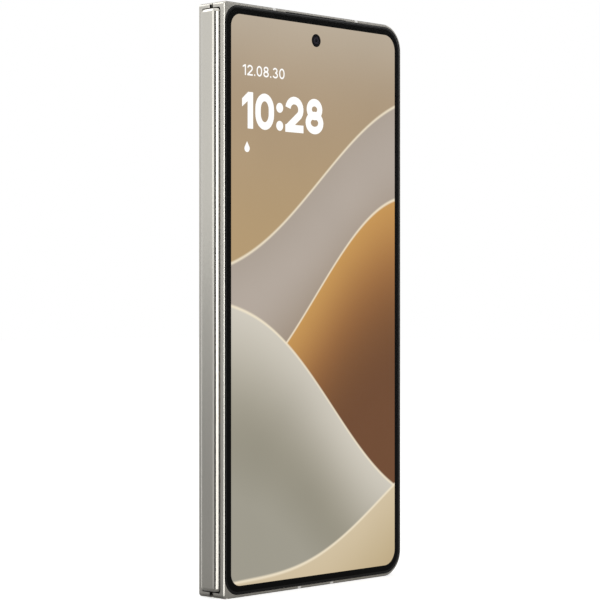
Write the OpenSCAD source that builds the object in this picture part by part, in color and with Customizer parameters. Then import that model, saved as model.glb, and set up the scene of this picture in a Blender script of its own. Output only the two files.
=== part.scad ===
// Foldable phone, folded shut and standing on its bottom end.
// +Z runs up along the hinge, the outer screen faces -Y and the hinge spine lies on the -X side.
// Each half is drawn in its own frame: x from the hinge end to the free edge,
// y from the inner screen side out to the outer face, z up. The front half is the mirror of the rear one.

/* [Body] */
// Height of the phone, along the hinge
body_h = 160; // [152:0.5:168]
// Width of one half, from its hinge end to its free edge
half_w = 72.2; // [70:0.1:75]
// Thickness of one half
half_t = 4.7; // [4.6:0.05:5.2]
// Gap between the two halves when folded
fold_gap = 0.5; // [0.44:0.02:0.6]
// Radius of the frame's corners at the free edge
corner_r = 7.2; // [5:0.2:10]
// Radius of the frame's corners beside the hinge
hinge_corner_r = 1; // [0.5:0.1:1.5]
// Bevel along the outer edges of the frame
edge_bevel = 0.3; // [0.1:0.05:0.35]
// Bevel along the inner edges of the frame
inner_bevel = 0.35; // [0.1:0.05:0.6]
// Thickness of the frame's side wall
wall = 1.7; // [1.5:0.1:2.2]
// Thickness of the middle plate that carries the inner screen
mid_t = 0.5; // [0.4:0.05:0.6]
// Width of an antenna band
band_w = 1.2; // [0.8:0.1:1.6]
// Depth of an antenna band into the frame
band_d = 0.65; // [0.4:0.05:0.7]

/* [Glass and screens] */
// Thickness of the outer glass panels
glass_t = 0.6; // [0.45:0.05:0.7]
// Distance of the glass from the frame's free edge
glass_free_inset = 0.6; // [0.5:0.05:0.9]
// Distance of the glass from the frame's ends
glass_end_inset = 0.8; // [0.75:0.05:1.1]
// Distance of the glass from the hinge end of the frame
glass_hinge_inset = 0.37; // [0.36:0.01:0.6]
// Radius of the glass corners beside the hinge
glass_hinge_r = 5; // [4:0.5:8]
// Seam round each panel that sits in the frame
seam = 0.05; // [0.03:0.01:0.08]
// Thickness of the outer screen panel under the glass
cover_panel_t = 0.5; // [0.35:0.05:0.55]
// Distance of the outer screen panel from the glass edges
cover_panel_inset = 1.95; // [1.8:0.05:2.4]
// Thickness of the inner screen
screen_t = 0.6; // [0.5:0.05:0.7]
// Depth of the inner screen below the frame's rim
screen_recess = 0.15; // [0.1:0.01:0.2]
// Distance of the inner screen from the frame's edges
screen_inset = 1; // [0.9:0.05:1.3]
// Width of the soft bezel over the edge of the inner screen
bezel_w = 1.6; // [1:0.1:2.4]
// Length of flexible screen on each half, measured from the hinge end
fold_reach = 12.6; // [12:0.1:14]

/* [Hinge] */
// How far the ends of the folded halves stand behind the plane of the inner screen when it is open
end_setback = 1.83; // [1.76:0.01:1.9]
// How far the spine stands out beyond the ends of the halves
spine_out = 1.37; // [1.3:0.01:1.45]
// Thickness of each half's end beside the spine
end_wall = 1.4; // [1.3:0.05:1.45]
// Running gap between the spine and the halves
spine_gap = 0.12; // [0.08:0.01:0.16]
// Distance of the spine's ends from the ends of the phone
spine_inset = 1.75; // [1.5:0.05:2.5]
// Wall thickness of the spine cover
spine_wall = 0.35; // [0.3:0.01:0.4]
// Thickness of the spine's end caps
spine_cap = 1; // [0.6:0.1:2]
// Height of the bevel at each end of the spine
spine_bevel = 0.9; // [0.4:0.1:1.4]
// Distance of the two hinge blocks from the ends of the phone
station_inset = 26; // [20:1:34]
// Inner radius of the curved hinge tongues
tongue_r = 1.3; // [1.25:0.01:1.35]
// Thickness of the curved hinge tongues
tongue_t = 0.5; // [0.4:0.05:0.55]
// Width of a tongue along the hinge
tongue_w = 3; // [2:0.1:4]
// Running gap round the tongues and arms
run_gap = 0.1; // [0.06:0.01:0.12]
// Wall of the hinge blocks between the tongues
block_wall = 1.2; // [0.8:0.1:2]
// Distance of the gear shafts from the folding axes
shaft_reach = 1.35; // [1.3:0.01:1.4]
// Direction of the gear shafts from the folding axes, in degrees
shaft_angle = 52; // [50:0.5:54]
// Radius of the gear shafts
shaft_r = 0.25; // [0.2:0.01:0.28]
// Teeth on each synchronising gear
gear_teeth = 10; // [8:2:12]
// Width of the synchronising gears
gear_w = 2.4; // [1.8:0.1:3.2]
// Thickness of the screen support over the spine
support_t = 0.22; // [0.15:0.01:0.24]
// Inner radius of the folded screen at its tip
tip_r = 0.8; // [0.7:0.02:0.84]
// Half width of the folded screen at its widest, to its outer surface
bulge = 1.95; // [1.8:0.01:1.98]
// Thickness of the wing plates under the flexible screen
wing_t = 0.3; // [0.2:0.02:0.34]
// Tilt of the wing plates when folded, in degrees
wing_tilt = 10; // [9.5:0.1:10.5]
// Thickness left between the hinge trough and the outer face
trough_floor = 1.8; // [1.7:0.02:1.82]

/* [Cameras] */
// Width of the rear camera island
island_w = 25; // [24:0.5:30]
// Height of the rear camera island
island_h = 62; // [60:1:68]
// How far the rear camera island stands out
island_out = 1.7; // [1.2:0.1:2.4]
// Corner radius of the rear camera island
island_r = 8; // [4:0.5:11]
// Distance of the island from the frame's free edge
island_side = 6; // [5.5:0.5:8]
// Distance of the island from the top of the phone
island_top = 6.5; // [5.5:0.5:10]
// Radius of a rear camera's window
lens_r = 6.6; // [5.5:0.1:7.2]
// Width of the metal ring round a camera window
ring_w = 0.9; // [0.6:0.1:1.4]
// How far a camera ring stands out of the island
ring_out = 0.5; // [0.3:0.05:0.8]
// Spacing of the rear cameras
lens_pitch = 17.6; // [17.2:0.1:18.4]
// Radius of the flash window
flash_r = 2; // [1.5:0.1:2.2]
// Radius of the selfie camera openings
selfie_r = 1.75; // [1.4:0.05:2]
// Distance of the outer selfie camera from the hinge end
selfie_u = 36; // [32:0.1:40]
// Distance of the outer selfie camera from the top of the phone
selfie_top = 7.4; // [6.5:0.1:9]

/* [Edge fittings] */
// Length of the power button
power_len = 11; // [8:0.5:14]
// Height of the power button's middle above the bottom
power_z = 96; // [90:1:100]
// Length of the volume rocker
volume_len = 22; // [18:0.5:26]
// Height of the volume rocker's middle above the bottom
volume_z = 118; // [116:1:124]
// Width of the side keys
key_w = 2; // [1.6:0.1:2.2]
// How far the side keys stand out
key_out = 0.35; // [0.2:0.05:0.5]
// Play between a side key and its slot
key_gap = 0.12; // [0.08:0.01:0.2]
// Travel of the power button
key_travel = 0.25; // [0.2:0.01:0.3]
// Width of the charging socket's opening
usb_w = 8.34; // [8.3:0.01:8.4]
// Height of the charging socket's opening
usb_h = 2.56; // [2.5:0.01:2.6]
// Depth of the charging socket
usb_len = 7.2; // [6.5:0.1:8]
// Sheet thickness of the charging socket's shell
usb_t = 0.2; // [0.15:0.01:0.24]
// Width of the card tray
tray_w = 10.6; // [10:0.1:12]
// Thickness of the card tray
tray_t = 1; // [0.8:0.05:1.2]
// Length of the card tray
tray_len = 20; // [18:0.5:24]
// Distance of the card tray's middle from the hinge end
tray_u = 27; // [26:0.5:34]
// Radius of the loudspeaker holes
grille_r = 0.5; // [0.3:0.05:0.7]
// Number of loudspeaker holes
grille_count = 6; // [3:1:7]
// Spacing of the loudspeaker holes
grille_pitch = 2.2; // [1.8:0.1:2.5]
// Distance of the first loudspeaker hole from the hinge end
grille_u = 47; // [46:0.5:49]
// Length of the earpiece slit
slit_len = 24.5; // [18:0.5:28]
// Height of the earpiece slit
slit_h = 0.35; // [0.25:0.01:0.4]

/* [Inside] */
// Width of the rear battery
battery_w = 46; // [40:1:50]
// Distance of the rear battery from the camera island above it
battery_gap = 11.5; // [9:0.5:20]
// Height of the rear battery's lower edge above the bottom
battery_z = 22; // [20:0.5:24]
// Distance of the front battery from the frame's free edge
front_battery_side = 9.8; // [9:0.1:18]
// Distance of the front battery's upper edge from the top
front_battery_top = 22; // [21.5:0.5:40]
// Height of the front battery's lower edge above the bottom
front_battery_z = 30; // [29:0.5:32]
// Thickness of the circuit boards
board_t = 0.8; // [0.6:0.05:1]
// Width of the main board
board_w = 22; // [20:0.5:23]
// Outer radius of the charging coil
coil_r = 21; // [16:0.5:23]
// Inner radius of the charging coil
coil_hole_r = 10; // [8:0.5:12]
// Thickness of the charging coil
coil_t = 0.3; // [0.2:0.02:0.36]
// Width of a closing magnet
magnet_w = 2; // [1.5:0.1:2.4]
// Length of a closing magnet
magnet_len = 16; // [10:1:20]
// Radius of the bracket screws' shanks
screw_r = 0.5; // [0.4:0.05:0.6]

/* [Hidden] */
$fn = 96;
eps = 0.01;

// Folding geometry. Both axes lie axis_x from the plane of the open screen and axis_y from the middle.
gap_half = fold_gap / 2;
axis_x = (gap_half - end_setback) / 2;
axis_y = (gap_half + end_setback) / 2;
axis_u = axis_x + end_setback;
axis_w = axis_y - gap_half;
pocket_r = norm([axis_u, half_t - end_wall - axis_w]);
spine_r = pocket_r - spine_gap;
spine_x = -(end_setback + spine_out);
spine_lip = -(end_setback + 0.04);
spine_z0 = spine_inset;
spine_z1 = body_h - spine_inset;
trough_z0 = spine_inset - spine_gap;
trough_z1 = body_h - trough_z0;
trough_w = half_t - trough_floor;
end_play = 0.03;

// Layers of a half, from the inner screen out
screen_back = screen_recess + screen_t;
mid_back = screen_back + mid_t;
glass_back = half_t - glass_t;
panel_back = glass_back - cover_panel_t;
bay_t = glass_back - mid_back;
rib_t = 0.8;
bay_u = fold_reach + rib_t;
bay_end = half_w - wall;
fold_z0 = trough_z0 + 0.12;
fold_z1 = body_h - fold_z0;

// The whole part is moved so that the middle of its base is the origin
x_low = spine_x;
x_high = half_w - end_setback + key_out;
y_low = -(gap_half + half_t);
y_high = gap_half + half_t + island_out + ring_out;
origin = [-(x_low + x_high) / 2, -(y_low + y_high) / 2, 0];

champagne = [0.76, 0.74, 0.69];
band_tone = [0.70, 0.68, 0.63];

module placed() {
    translate(origin) children();
}

module rear() {
    placed() translate([-end_setback, gap_half, 0]) children();
}

module front() {
    placed() mirror([0, 1, 0]) translate([-end_setback, gap_half, 0]) children();
}

// Extrudes a shape drawn across the phone's face from depth w0 to depth w1
module slab(w0, w1) {
    translate([0, w1, 0]) rotate([90, 0, 0]) linear_extrude(w1 - w0) children();
}

// A face outline whose corners have radius r0 beside the hinge and r1 at the free edge
module outline(u0, u1, z0, z1, r0, r1) {
    polygon([
        [u0 + r0, z0], [u1 - r1, z0], [u1, z0 + r1], [u1, z1 - r1],
        [u1 - r1, z1], [u0 + r0, z1], [u0, z1 - r0], [u0, z0 + r0]
    ]);
    for (end = [[z0, 1], [z1, -1]]) {
        translate([u0 + r0, end[0] + end[1] * r0]) circle(r = r0);
        translate([u1 - r1, end[0] + end[1] * r1]) circle(r = r1);
    }
}

module box(low, high) {
    translate(low) cube(high - low);
}

// Section of the frame's side wall: inward distance, then depth
function wall_section(depth) = [
    [0, inner_bevel], [inner_bevel, 0], [depth, 0],
    [depth, half_t], [edge_bevel, half_t], [0, half_t - edge_bevel]
];

module run_bottom(u0, u1, depth) {
    translate([u1, 0, 0]) rotate([0, -90, 0]) linear_extrude(u1 - u0) polygon(wall_section(depth));
}

module run_top(u0, u1, depth) {
    translate([u0, 0, body_h]) rotate([0, 90, 0]) linear_extrude(u1 - u0) polygon(wall_section(depth));
}

module frame_corner(z, start) {
    translate([half_w - corner_r, 0, z]) rotate([-90, 0, 0]) rotate([0, 0, start])
        rotate_extrude(angle = 90) polygon([for (p = wall_section(wall)) [corner_r - p[0], p[1]]]);
}

module frame_walls() {
    run_bottom(0, half_w - corner_r, wall);
    run_top(0, half_w - corner_r, wall);
    translate([half_w, 0, corner_r]) mirror([1, 0, 0])
        linear_extrude(body_h - 2 * corner_r) polygon(wall_section(wall));
    frame_corner(corner_r, 0);
    frame_corner(body_h - corner_r, -90);
}

// Takes the sharp corner beside the hinge off a frame
module hinge_corner_cut() {
    difference() {
        box([-1, -1, -1], [hinge_corner_r, half_t + 1, hinge_corner_r]);
        translate([hinge_corner_r, -2, hinge_corner_r]) rotate([-90, 0, 0])
            cylinder(r = hinge_corner_r, h = half_t + 4);
    }
}

module glass_shape(grow) {
    outline(
        glass_hinge_inset - grow, half_w - glass_free_inset + grow,
        glass_end_inset - grow, body_h - glass_end_inset + grow,
        glass_hinge_r + grow, corner_r - glass_free_inset + grow
    );
}

module screen_shape(grow) {
    outline(
        fold_reach, half_w - screen_inset + grow,
        screen_inset - grow, body_h - screen_inset + grow,
        0.05, corner_r - screen_inset + grow
    );
}

// Frame of one half before its own openings are cut; floor_back is where its outer panel begins
module frame_body(floor_back) {
    difference() {
        union() {
            frame_walls();
            box([0, 0, 1], [bay_u, half_t, body_h - 1]);
            slab(screen_back, mid_back) outline(fold_reach, half_w - 1, 1, body_h - 1, eps, corner_r - 1);
        }
        translate([axis_u, axis_w, trough_z0]) cylinder(r = pocket_r, h = trough_z1 - trough_z0);
        box([-1, -1, trough_z0], [fold_reach, trough_w, trough_z1]);
        slab(-1, screen_back) screen_shape(seam);
        slab(glass_back, half_t + 1) glass_shape(seam);
        // Clears the strip where the hinge end would touch its neighbour when open
        box([-1, -1, -1], [end_play, half_t + 1, body_h + 1]);
        // Rounds the inner corner of the hinge end about the folding axis, so the two halves roll past each other
        linear_extrude(body_h) difference() {
            translate([-1, -1]) square([axis_u + 1, axis_w + 1]);
            translate([axis_u, axis_w]) circle(r = axis_u - end_play);
        }
        // Bevel of the hinge end's outer edge
        linear_extrude(body_h) polygon([
            [end_play - eps, half_t - edge_bevel], [end_play + edge_bevel, half_t + eps], [end_play - eps, half_t + eps]
        ]);
        hinge_corner_cut();
        translate([0, 0, body_h]) mirror([0, 0, 1]) hinge_corner_cut();
        if (floor_back < glass_back)
            box([cover_panel_u - 0.1, floor_back, wall], [bay_u + 1, glass_back + eps, body_h - wall]);
    }
}

cover_panel_u = glass_hinge_inset + cover_panel_inset;
// The outer screen panel's other edges lie this far inside the glass
cover_panel_rim = cover_panel_inset - 0.6;

// Antenna bands: distances from the hinge end along the top and bottom edges
top_bands = [19.3, 52.7];
bottom_bands = [29.2, 42.4];
rear_bottom_bands = [14.8, 62];

module band_cuts(top, bottom) {
    for (u = bottom) box([u - band_w / 2, -1, -1], [u + band_w / 2, half_t + 1, band_d]);
    for (u = top) box([u - band_w / 2, -1, body_h - band_d], [u + band_w / 2, half_t + 1, body_h + 1]);
}

module bands(top, bottom) {
    for (u = bottom) run_bottom(u - band_w / 2, u + band_w / 2, band_d);
    for (u = top) run_top(u - band_w / 2, u + band_w / 2, band_d);
}

// Side keys: slot in the wall, cap, and the flange that holds it in
key_y = half_t / 2 + 0.1;
flange_t = 0.6;
flange_grow = 0.5;
switch_strip_t = 0.3;
dome_h = 0.25;
key_back = half_w - wall - flange_t;

module key_prism(z, len, width, u0, u1) {
    translate([u0, key_y, z]) rotate([0, 90, 0]) linear_extrude(u1 - u0) {
        square([len - width, width], center = true);
        for (side = [-1, 1]) translate([side * (len - width) / 2, 0]) circle(d = width);
    }
}

module key(z, len, play) {
    key_prism(z, len, key_w, half_w - wall - play - eps, half_w + key_out);
    translate([0, key_y, z]) box(
        [key_back - play, -key_w / 2, -len / 2 - flange_grow],
        [half_w - wall - play, key_w / 2, len / 2 + flange_grow]
    );
}

module key_cut(z, len) {
    key_prism(z, len + 2 * key_gap, key_w + 2 * key_gap, half_w - wall - 1, half_w + 1);
}

volume_play = 0.3;

// Charging socket, in the middle of the bottom edge
usb_u = 36;
usb_y = screen_back + (glass_back - screen_back) / 2;
module usb_prism(grow, z0, z1) {
    translate([usb_u, usb_y, z0]) linear_extrude(z1 - z0) {
        square([usb_w - usb_h, usb_h + 2 * grow], center = true);
        for (side = [-1, 1]) translate([side * (usb_w - usb_h) / 2, 0]) circle(r = usb_h / 2 + grow);
    }
}

// Card tray, in the top edge
tray_y = mid_back + 0.35 + tray_t / 2;
tray_gap = 0.1;
tray_cap = 1.2;
tray_rim = 2.4;
card_len = 12.4;
module tray_prism(grow, z0, z1) {
    translate([tray_u, tray_y, z0]) linear_extrude(z1 - z0) {
        square([tray_w - tray_t, tray_t + 2 * grow], center = true);
        for (side = [-1, 1]) translate([side * (tray_w - tray_t) / 2, 0]) circle(r = tray_t / 2 + grow);
    }
}

// Rear camera island
island_u1 = half_w - island_side;
island_u0 = island_u1 - island_w;
island_z1 = body_h - island_top;
island_z0 = island_z1 - island_h;
battery_h = island_z0 - battery_gap - battery_z;
island_face = half_t + island_out;
lens_u = (island_u0 + island_u1) / 2;
lens_z = [for (n = [0:2]) island_z1 - lens_r - ring_w - 2.2 - n * lens_pitch];
flash_z = island_z0 + flash_r + 2.4;
module_side = 8.6;
barrel_r = 3.9;
island_step = 1.2;

module island_shape(grow) {
    outline(
        island_u0 - grow, island_u1 + grow, island_z0 - grow, island_z1 + grow,
        island_r + grow, island_r + grow
    );
}

module across(u, z, w0, w1, r) {
    translate([u, w0, z]) rotate([-90, 0, 0]) cylinder(r = r, h = w1 - w0);
}

module rear_frame() {
    color(champagne) rear() difference() {
        frame_body(glass_back);
        band_cuts(top_bands, rear_bottom_bands);
        key_cut(power_z, power_len);
        key_cut(volume_z, volume_len);
        usb_prism(usb_t, -1, wall + 1);
        box([usb_u - usb_w / 2 - 1, screen_back - eps, wall], [usb_u + usb_w / 2 + 1, mid_back + 1, usb_len + 2]);
        tray_prism(tray_gap, body_h - wall - 1, body_h + 1);
        for (n = [0:grille_count - 1])
            translate([grille_u + n * grille_pitch, key_y, -1]) cylinder(r = grille_r, h = wall + 2);
        across(inner_camera_u, inner_camera_z, screen_back - 1, mid_back + 1, inner_camera_r + 0.1);
        bracket_screw_holes();
    }
}

module rear_cover() {
    color([0.80, 0.77, 0.70]) rear() difference() {
        slab(glass_back, half_t) glass_shape(0);
        slab(glass_back - 1, half_t + 1) island_shape(-island_step);
    }
}

module rear_antenna_bands() {
    color(band_tone) rear() bands(top_bands, rear_bottom_bands);
}

module camera_island() {
    color([0.70, 0.68, 0.63]) rear() difference() {
        union() {
            slab(half_t, island_face) island_shape(0);
            slab(glass_back, half_t + eps) island_shape(-island_step - seam);
        }
        slab(glass_back - 1, island_face - 0.6) island_shape(-island_step - 1.4);
        for (z = lens_z) across(lens_u, z, glass_back - 1, island_face + 1, lens_r);
        across(lens_u, flash_z, glass_back - 1, island_face + 1, flash_r);
    }
}

module camera_rings() {
    color(champagne) rear() for (z = lens_z) difference() {
        across(lens_u, z, island_face, island_face + ring_out, lens_r + ring_w);
        across(lens_u, z, island_face - 1, island_face + ring_out + 1, lens_r - 0.2);
    }
}

module camera_windows() {
    color([0.05, 0.05, 0.06]) rear() for (z = lens_z) {
        across(lens_u, z, island_face - 0.6, island_face, lens_r - seam);
    }
}

module camera_modules() {
    color([0.15, 0.15, 0.16]) rear() for (z = lens_z) {
        translate([lens_u, 0, z]) box(
            [-module_side / 2, mid_back, -module_side / 2], [module_side / 2, glass_back, module_side / 2]
        );
        across(lens_u, z, glass_back - eps, island_face - 0.6, barrel_r);
    }
}

module flash_window() {
    color([0.95, 0.93, 0.85]) rear() across(lens_u, flash_z, island_face - 0.5, island_face, flash_r - seam);
}

module flash_module() {
    color([0.9, 0.8, 0.4]) rear() {
        translate([lens_u, 0, flash_z]) box(
            [-flash_r, mid_back, -flash_r], [flash_r, glass_back, flash_r]
        );
        across(lens_u, flash_z, glass_back - eps, island_face - 0.5, flash_r - 0.4);
    }
}

module rear_battery() {
    color([0.12, 0.12, 0.13]) rear() box(
        [bay_u + 1, mid_back, battery_z],
        [bay_u + 1 + battery_w, glass_back - coil_t - 0.1, battery_z + battery_h]
    );
}

coil_z = battery_z + battery_h / 2;
coil_u = bay_u + 1 + battery_w / 2;

module charging_coil() {
    color([0.75, 0.45, 0.25]) rear() difference() {
        across(coil_u, coil_z, glass_back - coil_t, glass_back, coil_r);
        across(coil_u, coil_z, glass_back - coil_t - 1, glass_back + 1, coil_hole_r);
    }
}

board_z0 = battery_z + battery_h + 3;
tray_z0 = body_h - tray_len;
board_step = tray_z0 - 5;

module main_board() {
    color([0.08, 0.22, 0.14]) rear() box(
        [bay_u + 0.6, mid_back, board_z0], [bay_u + 0.6 + board_w, mid_back + board_t, board_step]
    );
}

shield_h = 1.2;

module board_shields() {
    color([0.75, 0.75, 0.77]) rear() for (n = [0, 1]) {
        length = (board_step - board_z0 - 6) / 2;
        low = board_z0 + 2 + n * (length + 2);
        box(
            [bay_u + 2.6, mid_back + board_t, low],
            [bay_u - 1.4 + board_w, mid_back + board_t + shield_h, low + length]
        );
    }
}

usb_back_t = 0.4;
usb_inset = 0.4;
usb_tongue = [6.6, 0.7];

module charging_socket() {
    color([0.6, 0.6, 0.62]) rear() {
        difference() {
            usb_prism(usb_t - 0.02, usb_inset, usb_len);
            usb_prism(0, -1, usb_len - usb_back_t);
        }
        // The tongue that carries the contacts
        translate([usb_u, usb_y, usb_inset + 1])
            box([-usb_tongue[0] / 2, -usb_tongue[1] / 2, 0],
                [usb_tongue[0] / 2, usb_tongue[1] / 2, usb_len - usb_back_t - usb_inset - 1 + eps]);
    }
}

speaker_u0 = grille_u - 2;
speaker_u1 = grille_u + grille_count * grille_pitch;

speaker_t = bay_t - 0.45;

module loudspeaker() {
    color([0.1, 0.1, 0.1]) rear() box(
        [speaker_u0, mid_back, wall + 0.2], [speaker_u1, mid_back + speaker_t, battery_z - 4]
    );
}

motor_w = half_w * 0.139;
motor_t = bay_t - 0.55;

module vibration_motor() {
    color([0.7, 0.7, 0.72]) rear() box(
        [bay_u + 2, mid_back, wall + 3], [bay_u + 2 + motor_w, mid_back + motor_t, battery_z - 3]
    );
}

magnet_spots = [body_h * 0.2125, body_h * 0.3875];
magnet_t = bay_t - 1.05;

module magnets() {
    for (z = magnet_spots) box(
        [bay_end - 0.2 - magnet_w, mid_back, z - magnet_len / 2], [bay_end - 0.2, mid_back + magnet_t, z + magnet_len / 2]
    );
}

module rear_magnets() {
    color([0.5, 0.5, 0.52]) rear() magnets();
}

// Every snap dome ends one travel short of its key
dome_play = key_travel + 0.02;
strip_u = key_back - volume_play - dome_play - dome_h - switch_strip_t;

module key_switch_strip() {
    color([0.75, 0.5, 0.2]) rear() {
        box(
            [strip_u, mid_back, power_z - power_len / 2],
            [strip_u + switch_strip_t, mid_back + 2.4, volume_z + volume_len / 2]
        );
        // One snap dome behind the power button and two behind the rocker
        for (dome = [[power_z, 0], [volume_z - volume_len / 3, volume_play], [volume_z + volume_len / 3, volume_play]])
            translate([strip_u + switch_strip_t - eps, key_y, dome[0]]) rotate([0, 90, 0])
                cylinder(r = 0.8, h = key_back - dome[1] - dome_play - strip_u - switch_strip_t + eps);
    }
}

module rear_screen() {
    color([0.02, 0.02, 0.03]) rear() difference() {
        slab(screen_recess, screen_back) screen_shape(0);
        across(inner_camera_u, inner_camera_z, -1, screen_back + 1, inner_camera_r);
    }
}

module screen_bezel() {
    slab(0, screen_recess) difference() {
        screen_shape(0);
        outline(
            fold_reach - 1, half_w - screen_inset - bezel_w, screen_inset + bezel_w, body_h - screen_inset - bezel_w,
            0.05, corner_r - screen_inset - bezel_w
        );
    }
}

module rear_screen_bezel() {
    color([0.06, 0.06, 0.06]) rear() screen_bezel();
}

inner_camera_r = selfie_r + 0.1;
inner_camera_u = half_w - 9.5;
inner_camera_z = body_h - 4.75;

module inner_camera() {
    color([0.04, 0.04, 0.05]) rear() {
        across(inner_camera_u, inner_camera_z, screen_recess + 0.1, mid_back + 1.2, inner_camera_r - 0.05);
    }
}

// Buttons
module power_button() {
    color(champagne) rear() key(power_z, power_len, 0);
}

// The rocker turns on a round bead at the middle of its flange
rocker_bead_r = 0.25;

module volume_rocker() {
    color(champagne) rear() {
        key(volume_z, volume_len, volume_play);
        translate([key_back - volume_play, key_y - key_w / 2, volume_z]) rotate([-90, 0, 0])
            cylinder(r = rocker_bead_r, h = key_w);
    }
}

// The tray slides out of a reader under the top edge
module card_tray() {
    color(champagne) rear() {
        tray_prism(0, body_h - tray_cap, body_h);
        difference() {
            translate([tray_u, tray_y, 0]) box(
                [-tray_w / 2 + 0.4, -tray_t / 2 + 0.1, tray_z0 + 1],
                [tray_w / 2 - 0.4, tray_t / 2 - 0.1, body_h - tray_cap + eps]
            );
            translate([tray_u, tray_y, 0]) box(
                [-tray_w / 2 + 1.3, -tray_t, tray_z0 + tray_rim], [tray_w / 2 - 1.3, tray_t, tray_z0 + tray_rim + card_len]
            );
        }
    }
}

module card_reader() {
    color([0.72, 0.72, 0.74]) rear() difference() {
        translate([tray_u, tray_y, 0]) box(
            [-tray_w / 2 - 0.6, -tray_t / 2 - 0.35, tray_z0 - 1], [tray_w / 2 + 0.6, tray_t / 2 + 0.35, body_h - wall - 0.1]
        );
        translate([tray_u, tray_y, 0]) box(
            [-tray_w / 2 + 0.2, -tray_t / 2, tray_z0], [tray_w / 2 - 0.2, tray_t / 2, body_h]
        );
    }
}

// Hinge: each bracket has a curved tongue that turns in a block about its half's folding axis
tongue_out = tongue_r + tongue_t;
tongue_from = 18;
arm_rise = 0.51;
arm_in = axis_y + arm_rise;
arm_t = 0.42;
riser_x = axis_x + spine_r + 0.09;
riser_t = 0.5;
foot_len = 4.2;
foot_t = 0.6;
foot_x1 = riser_x + foot_len;
foot_in = gap_half + trough_w - foot_t;
screw_x = riser_x + foot_len / 2 + 0.3;
screw_head_t = 0.25;
screw_len = 1.1;
station_pitch = tongue_w + 2 * run_gap + block_wall;
stations = [station_inset, body_h - station_inset];
block_len = 3 * block_wall + 2 * (tongue_w + 2 * run_gap);

// Flat profile of a bracket, drawn across the hinge with x as depth and y from the middle
module bracket_shape() {
    intersection() {
        translate([axis_x, axis_y]) difference() {
            circle(r = tongue_out);
            circle(r = tongue_r);
        }
        polygon([
            [axis_x, axis_y], [axis_x - 3, axis_y], [axis_x - 3, axis_y + 3],
            [axis_x + 3, axis_y + 3], [axis_x + 3, axis_y + 3 * tan(tongue_from)]
        ]);
    }
    translate([axis_x + tongue_r - 0.06, arm_in]) square([riser_x + riser_t - axis_x - tongue_r + 0.06, arm_t]);
    translate([riser_x, arm_in]) square([riser_t, gap_half + trough_w - arm_in]);
    translate([riser_x, foot_in]) square([foot_x1 - riser_x, gap_half + trough_w - foot_in]);
}

module bracket(z) {
    difference() {
        translate([0, 0, z - tongue_w / 2]) linear_extrude(tongue_w) bracket_shape();
        translate([screw_x, 0, z]) rotate([-90, 0, 0]) cylinder(r = screw_r + 0.04, h = 9);
    }
}

module brackets() {
    for (z = stations) bracket(z + station_pitch / 2);
}

// The front brackets sit one groove lower than the rear ones
module front_brackets() {
    for (z = stations) bracket(z - station_pitch / 2);
}

module bracket_screw_holes(side = 1) {
    for (z = stations) across(
        screw_x + end_setback, z + side * station_pitch / 2,
        trough_w - 1, trough_w + screw_len - foot_t + 0.05, screw_r + 0.02
    );
}

module bracket_screws(side) {
    for (z = stations) {
        translate([screw_x, gap_half, z + side * station_pitch / 2]) rotate([-90, 0, 0]) {
            translate([0, 0, trough_w - foot_t - screw_head_t]) cylinder(r = screw_r + 0.4, h = screw_head_t);
            translate([0, 0, trough_w - foot_t - eps]) cylinder(r = screw_r, h = screw_len);
        }
    }
}

module rear_hinge_brackets() {
    color([0.55, 0.55, 0.57]) placed() brackets();
}

module front_hinge_brackets() {
    color([0.55, 0.55, 0.57]) placed() mirror([0, 1, 0]) front_brackets();
}

module rear_bracket_screws() {
    color([0.3, 0.3, 0.32]) placed() bracket_screws(1);
}

module front_bracket_screws() {
    color([0.3, 0.3, 0.32]) placed() mirror([0, 1, 0]) bracket_screws(-1);
}

// Section of the spine between floor depth x0 and lip depth x1, with shoulders of radius r about both axes
module spine_section(r, x0, x1) {
    intersection() {
        union() {
            for (side = [-1, 1]) translate([axis_x, side * axis_y]) circle(r = r);
            translate([x0, -axis_y]) square([x1 - x0, 2 * axis_y]);
        }
        translate([x0, -axis_y - r - 1]) square([x1 - x0, 2 * (axis_y + r + 1)]);
    }
}

module spine_end_bevel() {
    translate([0, 5, spine_z0]) rotate([90, 0, 0]) linear_extrude(10) polygon([
        [spine_x - 1, -1], [spine_x + spine_bevel / 2, -1], [spine_x + spine_bevel / 2, 0],
        [spine_x, spine_bevel], [spine_x - 1, spine_bevel]
    ]);
}

module spine_cover() {
    color(champagne) placed() difference() {
        translate([0, 0, spine_z0]) linear_extrude(spine_z1 - spine_z0) spine_section(spine_r, spine_x, spine_lip);
        translate([0, 0, spine_z0 + spine_cap]) linear_extrude(spine_z1 - spine_z0 - 2 * spine_cap)
            spine_section(spine_r - spine_wall, spine_x + spine_wall, 1);
        spine_end_bevel();
        translate([0, 0, body_h]) mirror([0, 0, 1]) spine_end_bevel();
    }
}

fold_tip = axis_x + 0.04;
support_x = fold_tip - 0.05 - support_t;
block_r = spine_r - spine_wall - 0.03;

module block_body(z, length) {
    translate([0, 0, z - length / 2]) linear_extrude(length) spine_section(block_r, spine_x + spine_wall, support_x);
}

// Groove for one tongue, with its own core left standing about the axis
module tongue_groove(z) {
    translate([0, 0, z - tongue_w / 2 - run_gap]) linear_extrude(tongue_w + 2 * run_gap) difference() {
        union() {
            translate([axis_x, axis_y]) circle(r = tongue_out + run_gap);
            translate([spine_lip, axis_y]) square([4, 4]);
        }
        translate([axis_x, axis_y]) circle(r = tongue_r - run_gap);
    }
}

module hinge_blocks() {
    color([0.5, 0.5, 0.52]) placed() for (z = stations) difference() {
        block_body(z, block_len);
        tongue_groove(z + station_pitch / 2);
        mirror([0, 1, 0]) tongue_groove(z - station_pitch / 2);
    }
}

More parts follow.
